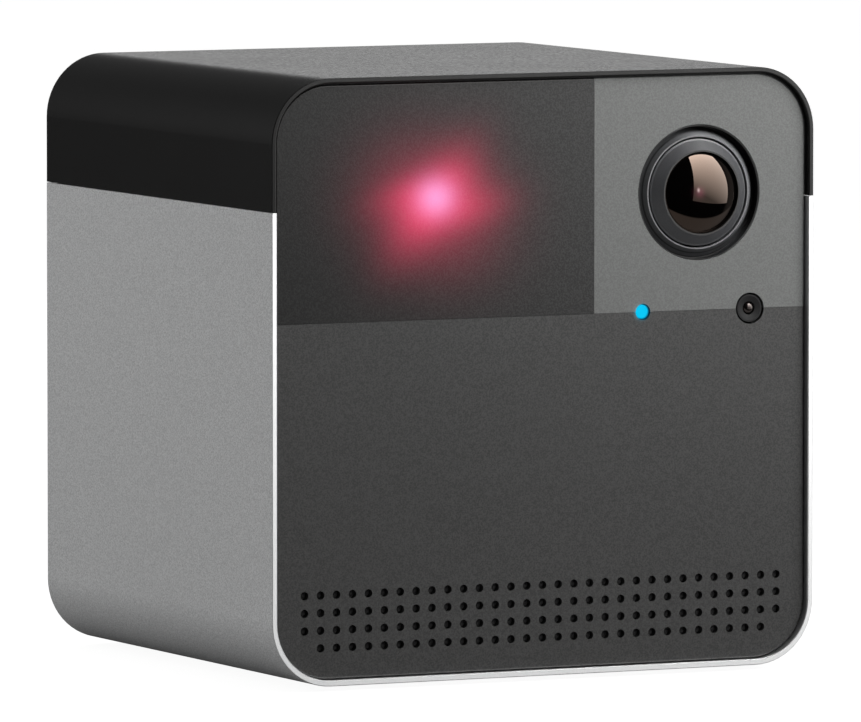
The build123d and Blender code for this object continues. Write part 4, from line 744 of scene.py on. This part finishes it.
corner_steps = 12
seal_outer, seal_inner = 0.76, 1.0  # in from the side of the body
seal_depth, seal_thickness = 0.3, 1.4  # behind the window's front
seal_above_skirt = 3.2


def add_object(name, data):
    """A new object of the scene."""
    made = bpy.data.objects.new(name, data)
    bpy.context.scene.collection.objects.link(made)
    return made


def lip_seal():
    """Thin rubber seal in the gap between the cover's lip and the front plates."""
    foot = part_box("top_cover")[0][2] / MM + seal_above_skirt
    front = window_front + seal_depth
    back = front + seal_thickness
    section = ((seal_outer, front), (seal_inner, front), (seal_inner, back), (seal_outer, back))
    quarter = [math.pi / 2 * number / corner_steps for number in range(corner_steps + 1)]
    left = [(-1, math.pi - turn, False) for turn in quarter]
    right = [(1, math.pi / 2 - turn, False) for turn in quarter]
    corners = []
    for side, angle, at_foot in [(-1, math.pi, True), *left, *right, (1, 0.0, True)]:
        for inset, y in section:
            radius = corner_radius - inset
            x = side * corner_straight + radius * math.cos(angle)
            z = foot if at_foot else body_top - corner_radius + radius * math.sin(angle)
            corners.append((x * MM, y * MM, z * MM))
    edges = len(section)
    faces = [tuple(reversed(range(edges))), tuple(range(len(corners) - edges, len(corners)))]
    for first in range(0, len(corners) - edges, edges):
        for edge in range(edges):
            here, beside = first + edge, first + (edge + 1) % edges
            faces.append((here, beside, edges + beside, edges + here))
    mesh = bpy.data.meshes.new("lip_seal")
    mesh.from_pydata(corners, [], faces)
    shape = bmesh.new()
    shape.from_mesh(mesh)
    bmesh.ops.recalc_face_normals(shape, faces=shape.faces)
    shape.to_mesh(mesh)
    shape.free()
    mesh.materials.append(moulding("seal_rubber", srgb(60, 60, 60), 0.7, 0.3).material)
    seal = add_object("lip_seal", mesh)
    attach(seal, "housing")


lip_seal()


# ------------------------------------------------------------ repeated small pieces


class Repeat(Finish):
    """A Geometry Nodes tree with named inputs for its sizes; it makes one plain mesh."""

    def __init__(self, name):
        super().__init__(bpy.data.node_groups.new(name, "GeometryNodeTree"))
        self.tree.interface.new_socket(
            "Geometry", in_out="OUTPUT", socket_type="NodeSocketGeometry"
        )
        self.entry = self.tree.nodes.new("NodeGroupInput")
        self.values = {}

    def size(self, name, value, kind="NodeSocketFloat"):
        """Names an input of the tree and gives its value."""
        made = self.tree.interface.new_socket(name, in_out="INPUT", socket_type=kind)
        self.values[made.identifier] = value
        return Tap(self, self.entry.outputs[name])

    def count(self, name, value):
        return self.size(name, value, "NodeSocketInt")

    def spot(self, x, y, z):
        return self.node("ShaderNodeCombineXYZ", None, {"X": x, "Y": y, "Z": z})

    def moved(self, shape, **sockets):
        return self.node("GeometryNodeTransform", None, {"Geometry": shape, **sockets})

    def wire(self, radius, length):
        return self.node(
            "GeometryNodeMeshCylinder", None, {"Vertices": 8, "Radius": radius, "Depth": length}
        )

    def on_points(self, points, shape):
        """A copy of a shape at each point."""
        return self.node(
            "GeometryNodeInstanceOnPoints", None, {"Points": points, "Instance": shape}
        )

    def row(self, count, start, step, shape):
        """Copies of a shape from start on, step apart."""
        line = self.node(
            "GeometryNodeMeshLine",
            {"mode": "OFFSET"},
            {"Count": count, "Start Location": start, "Offset": step},
        )
        return self.on_points(line, shape)

    def joined(self, *shapes):
        join = self.tree.nodes.new("GeometryNodeJoinGeometry")
        for shape in shapes:
            self.tree.links.new(shape.socket, join.inputs[0])
        return Tap(self, join.outputs[0])

    def make(self, shape, finish):
        """Ends the tree, and turns its result into a plain mesh that rides on the housing."""
        whole = self.node("GeometryNodeRealizeInstances", None, {"Geometry": shape})
        dressed = self.node(
            "GeometryNodeSetMaterial", None, {"Geometry": whole, "Material": finish.material}
        )
        self.node("NodeGroupOutput", None, {"Geometry": dressed})
        name = self.tree.name
        piece = add_object(name, bpy.data.meshes.new(name))
        modifier = piece.modifiers.new(name, "NODES")
        modifier.node_group = self.tree
        for identifier, value in self.values.items():
            modifier[identifier] = value
        result = piece.evaluated_get(bpy.context.evaluated_depsgraph_get())
        plain = bpy.data.meshes.new_from_object(result)
        piece.modifiers.remove(modifier)
        piece.data = plain
        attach(piece, "housing")


def cloth_in_holes():
    """Acoustic cloth swelling a little into each perforation of the grille."""
    made = Repeat("cloth_in_holes")
    low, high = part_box("acoustic_mesh")
    columns = made.count("Columns", 31)
    rows = made.count("Rows", 4)
    pitch = made.size("Pitch", 2.66 * MM)
    radius = made.size("Hole radius", 0.62 * MM)
    swell = made.size("Swell", 0.62 * MM)
    depth = made.size("Cloth front", low[1])
    height = made.size("Middle height", (low[2] + high[2]) / 2)
    wide, tall = (columns - 1) * pitch, (rows - 1) * pitch
    sheet = made.node(
        "GeometryNodeMeshGrid",
        None,
        {"Size X": wide, "Size Y": tall, "Vertices X": columns, "Vertices Y": rows},
    )
    upright = made.moved(
        sheet, Translation=made.spot(0.0, depth, height), Rotation=(math.pi / 2, 0.0, 0.0)
    )
    x, z = made.parts(made.node("GeometryNodeInputPosition"), "XZ")
    bare_ends = (abs(x) > wide / 2 - pitch / 2) * (z < height - tall / 2 + pitch / 2)
    field = made.node(
        "GeometryNodeDeleteGeometry", None, {"Geometry": upright, "Selection": bare_ends}
    )
    ball = made.node(
        "GeometryNodeMeshUVSphere", None, {"Segments": 14, "Rings": 8, "Radius": radius}
    )
    pillow = made.moved(ball, Scale=made.spot(1.0, swell / radius, 1.0))
    made.make(made.on_points(field, pillow), cloth)


def vent_screen():
    """Wire screen against the inside of the rear cover, behind its vents."""
    made = Repeat("vent_screen")
    upright = made.count("Upright wires", 41)
    level = made.count("Level wires", 18)
    pitch = made.size("Pitch", 0.95 * MM)
    radius = made.size("Wire radius", 0.11 * MM)
    depth = made.size("Cover inside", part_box("rear_cover")[1][1] - 2.5 * MM)
    height = made.size("Middle height", 64.5 * MM)
    crossing = 2.6  # depth of the level wires, in wire radii
    wide, tall = (upright - 1) * pitch, (level - 1) * pitch
    post = made.wire(radius, tall + pitch)
    bar = made.moved(made.wire(radius, wide + pitch), Rotation=(0.0, math.pi / 2, 0.0))
    first_post = made.spot(wide / -2, depth - radius, height)
    first_bar = made.spot(0.0, depth - radius * crossing, height - tall / 2)
    posts = made.row(upright, first_post, made.spot(pitch, 0.0, 0.0), post)
    bars = made.row(level, first_bar, made.spot(0.0, 0.0, pitch), bar)
    made.make(made.joined(posts, bars), steel)


def socket_contacts():
    """Gold contacts on both faces of the charging socket's tongue."""
    made = Repeat("socket_contacts")
    low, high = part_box("usb_socket")
    count = made.count("Contacts", 12)
    pitch = made.size("Pitch", 0.5 * MM)
    long = made.size("Length", 2.6 * MM)
    half_tongue = made.size("Half tongue", 0.35 * MM)
    mouth = made.size("Tongue front", high[1] - 1.1 * MM)
    height = made.size("Height", (low[2] + high[2]) / 2)
    wide, thick = 0.28 * MM, 0.06 * MM
    contact = made.node("GeometryNodeMeshCube", None, {"Size": made.spot(wide, long, thick)})
    first = (count - 1) * pitch / -2
    rows = [
        made.row(
            count,
            made.spot(first, mouth - long / 2, height + half_tongue * side),
            made.spot(pitch, 0.0, 0.0),
            contact,
        )
        for side in (-1.0, 1.0)
    ]
    made.make(made.joined(*rows), gold)


gold = cast_metal("contact_gold", (0.9, 0.66, 0.28), 0.25)
cloth_in_holes()
vent_screen()
socket_contacts()


# ------------------------------------------------------------ studio

white = (1.0, 1.0, 1.0)
body_centre = Vector((0.0, 0.0, 46.5))

# brightness of each light
key_level = 1.4
side_level = 1.6
rear_level = 2.4
fill_level = 0.3
backdrop_level = 0.71

# key softbox: where it stands, in degrees right of the front, its size and its brightness
key_azimuth = 38.5
key_distance = 220.0
key_origin_y = -42.0
key_height = 453.0
key_width = 314.0
key_taper = 0.76
key_rise, key_slant, key_start, key_least = 6.2, 1.7, 0.8, 0.32

fill_distance = 700.0
fill_size = 500.0
fill_rise = 0.2
fill_aim = Vector((-45.7, 0.0, 46.5))

# floor: height, half size, white for the camera, and the strip that reflections see
floor_low = -0.05
floor_reach = 12000.0
floor_white = 0.945
strip_x, strip_y = 0.257, -0.966
strip_end = (117.0, 126.0)
glow_edge = (-70.0, -30.0)
glow_near, glow_far = 0.3, 0.05

# what reflections see of the room: steps are on the parts of the ray's direction
darkest = 0.003
backdrop_x, backdrop_y = 0.439, 0.898
backdrop_side = (0.885, 0.93)
backdrop_bottom = (-0.22, -0.17)
backdrop_top = (0.13, 0.18)
wall_side, wall_level = (0.93, 0.99), 0.1
room_side, room_level = (0.1, 0.5), 0.08
ceiling_side, ceiling_loss = (0.05, 0.5), 0.24


def towards(azimuth, elevation):
    """Direction from the object, in radians from its front and from level."""
    return Vector(
        (
            math.sin(azimuth) * math.cos(elevation),
            -math.cos(azimuth) * math.cos(elevation),
            math.sin(elevation),
        )
    )


def to_the_right(azimuth):
    """Level direction to the right, for a viewer at an azimuth in radians."""
    return Vector((math.cos(azimuth), math.sin(azimuth), 0.0))


def ray(finish, kind):
    return finish.node("ShaderNodeLightPath", output=kind)


def mirror_ray(finish):
    return ray(finish, "Is Glossy Ray").most(ray(finish, "Is Transmission Ray"))


def stage_card(name, corners):
    """A flat stage piece from its corners, and its empty material tree."""
    mesh = bpy.data.meshes.new(name)
    mesh.from_pydata(corners, [], [tuple(range(len(corners)))])
    card = add_object(name, mesh)
    sheet = bpy.data.materials.new(name)
    sheet.use_nodes = True
    card.data.materials.append(sheet)
    return card, Finish(sheet.node_tree)


def pale_floor():
    """White for the camera, with a faint soft shadow; dim for the object's own light."""
    low, reach = floor_low * MM, floor_reach * MM
    corners = [(sx * reach, sy * reach, low) for sx, sy in ((-1, -1), (1, -1), (1, 1), (-1, 1))]
    _, made = stage_card("floor", corners)
    spot = made.place()
    x, y = made.parts(spot, "XY")
    fibre = made.grain(spot, 8.0, 3.0)
    paper = made.diffuse(made.mix(fibre, dim(white, 0.19), dim(white, 0.21)))
    seen = made.node("ShaderNodeAddShader", None, {0: paper, 1: made.emission(white, floor_white)})
    lit = made.diffuse(made.mix(fibre, dim(white, 0.2), dim(white, 0.22)))
    gone = made.node("ShaderNodeBsdfTransparent")
    away = x * strip_x + y * strip_y
    glow = (1 - y.step(*glow_edge)) * (glow_near - glow_far) + glow_far
    faint = made.emission((1.0, 0.99, 0.98), glow)
    mirrored = made.blend(away.step(*strip_end), faint, gone)
    above = made.blend(made.geometry("Backfacing"), seen, gone)
    plain = made.blend(ray(made, "Is Camera Ray"), lit, above)
    whole = made.blend(mirror_ray(made), plain, mirrored)
    made.node("ShaderNodeOutputMaterial", None, {"Surface": whole})


def lamp_card(name, centre, side, up, width, height, strength, taper=1.0):
    """Soft lamp card; strength is written from its place across and up, both 0 to 1."""
    centre, side, up = Vector(centre) * MM, Vector(side), Vector(up)
    width, height = width * MM, height * MM
    corners = [
        centre + side * (sx * width / 2 * (taper if sz > 0 else 1)) + up * (sz * height / 2)
        for sx, sz in ((-1, -1), (-1, 1), (1, 1), (1, -1))
    ]
    card, made = stage_card(name, corners)
    offset = made.vector("SUBTRACT", made.geometry("Position"), tuple(centre))
    across = made.vector("DOT_PRODUCT", offset, tuple(side), "Value") / width + 0.5
    along = made.vector("DOT_PRODUCT", offset, tuple(up), "Value") / height + 0.5
    facing = 1 - made.geometry("Backfacing")
    lamp = made.emission((1.0, 0.995, 0.985), strength(across, along) * facing)
    made.node("ShaderNodeOutputMaterial", None, {"Surface": lamp})
    card.visible_camera = False
    card.visible_shadow = False
    return card


def key_softbox():
    """Tall softbox close to the front on the right, brightest at its top and right."""
    azimuth = math.radians(key_azimuth)
    centre = (
        lens_x + key_distance * math.sin(azimuth),
        key_origin_y - key_distance * math.cos(azimuth),
        key_height / 2,
    )

    def strength(across, along):
        rise = along * key_rise + across * key_slant - key_start
        return rise.most(key_least) * key_level

    upright = (0.0, 0.0, 1.0)
    lamp_card(
        "key_softbox",
        centre,
        to_the_right(azimuth),
        upright,
        key_width,
        key_height,
        strength,
        key_taper,
    )


def fill_card(name, azimuth, elevation, level):
    """Broad card turned to the object from far off, a little brighter at its top."""
    azimuth, elevation = math.radians(azimuth), math.radians(elevation)
    away, side = towards(azimuth, elevation), to_the_right(azimuth)
    centre = fill_aim + away * fill_distance

    def strength(_, along):
        return along * fill_rise + level

    return lamp_card(name, centre, side, side.cross(-away), fill_size, fill_size, strength)


def studio_world():
    """White for the camera; reflections see a white backdrop behind in a dark room."""
    world = bpy.data.worlds.new("studio")
    bpy.context.scene.world = world
    world.use_nodes = True
    made = Finish(world.node_tree)
    x, y, z = made.parts(made.node("ShaderNodeTexCoord", output="Generated"))
    level = (x * x + y * y).root().most(0.001)
    behind = (x * backdrop_x + y * backdrop_y) / level
    tall = z.step(*backdrop_bottom)
    backdrop = behind.step(*backdrop_side) * tall * (1 - z.step(*backdrop_top))
    right_wall = (x / level).step(*wall_side) * wall_level
    back_room = y.step(*room_side) * (1 - z.step(*ceiling_side) * ceiling_loss) * room_level
    room = (right_wall.most(back_room) + darkest).most(backdrop * backdrop_level)
    camera_ray = ray(made, "Is Camera Ray")
    mirror = mirror_ray(made)
    strength = mirror * room + (1 - mirror) * fill_level
    strength = camera_ray + (1 - camera_ray) * strength
    light = made.node("ShaderNodeBackground", None, {"Color": white, "Strength": strength})
    made.node("ShaderNodeOutputWorld", None, {"Surface": light})


pale_floor()
key_softbox()
fill_card("side_fill", -122.0, 19.0, side_level)
fill_card("rear_fill", 155.0, 30.0, rear_level).visible_glossy = False
studio_world()


# ------------------------------------------------------------ camera

camera_azimuth, camera_elevation = -26.056, 4.472
camera_distance = 1846.945
camera_right, camera_up = 0.610, -0.803
focal_length, sensor_width = 500.84, 36.0
clip_near, clip_far = 0.1, 30.0


def place_camera():
    """Long lens, front left and a little above."""
    azimuth, elevation = math.radians(camera_azimuth), math.radians(camera_elevation)
    back, right = towards(azimuth, elevation), to_the_right(azimuth)
    up = back.cross(right)
    lens = bpy.data.cameras.new("camera")
    lens.sensor_fit = "HORIZONTAL"
    lens.sensor_width = sensor_width
    lens.lens = focal_length
    lens.clip_start = clip_near
    lens.clip_end = clip_far
    camera = add_object("camera", lens)
    shift = right * camera_right + up * camera_up
    camera.location = (body_centre + back * camera_distance + shift) * MM
    camera.rotation_mode = "QUATERNION"
    camera.rotation_quaternion = back.to_track_quat("Z", "Y")
    bpy.context.scene.camera = camera


place_camera()
bpy.context.scene.view_settings.view_transform = "Standard"
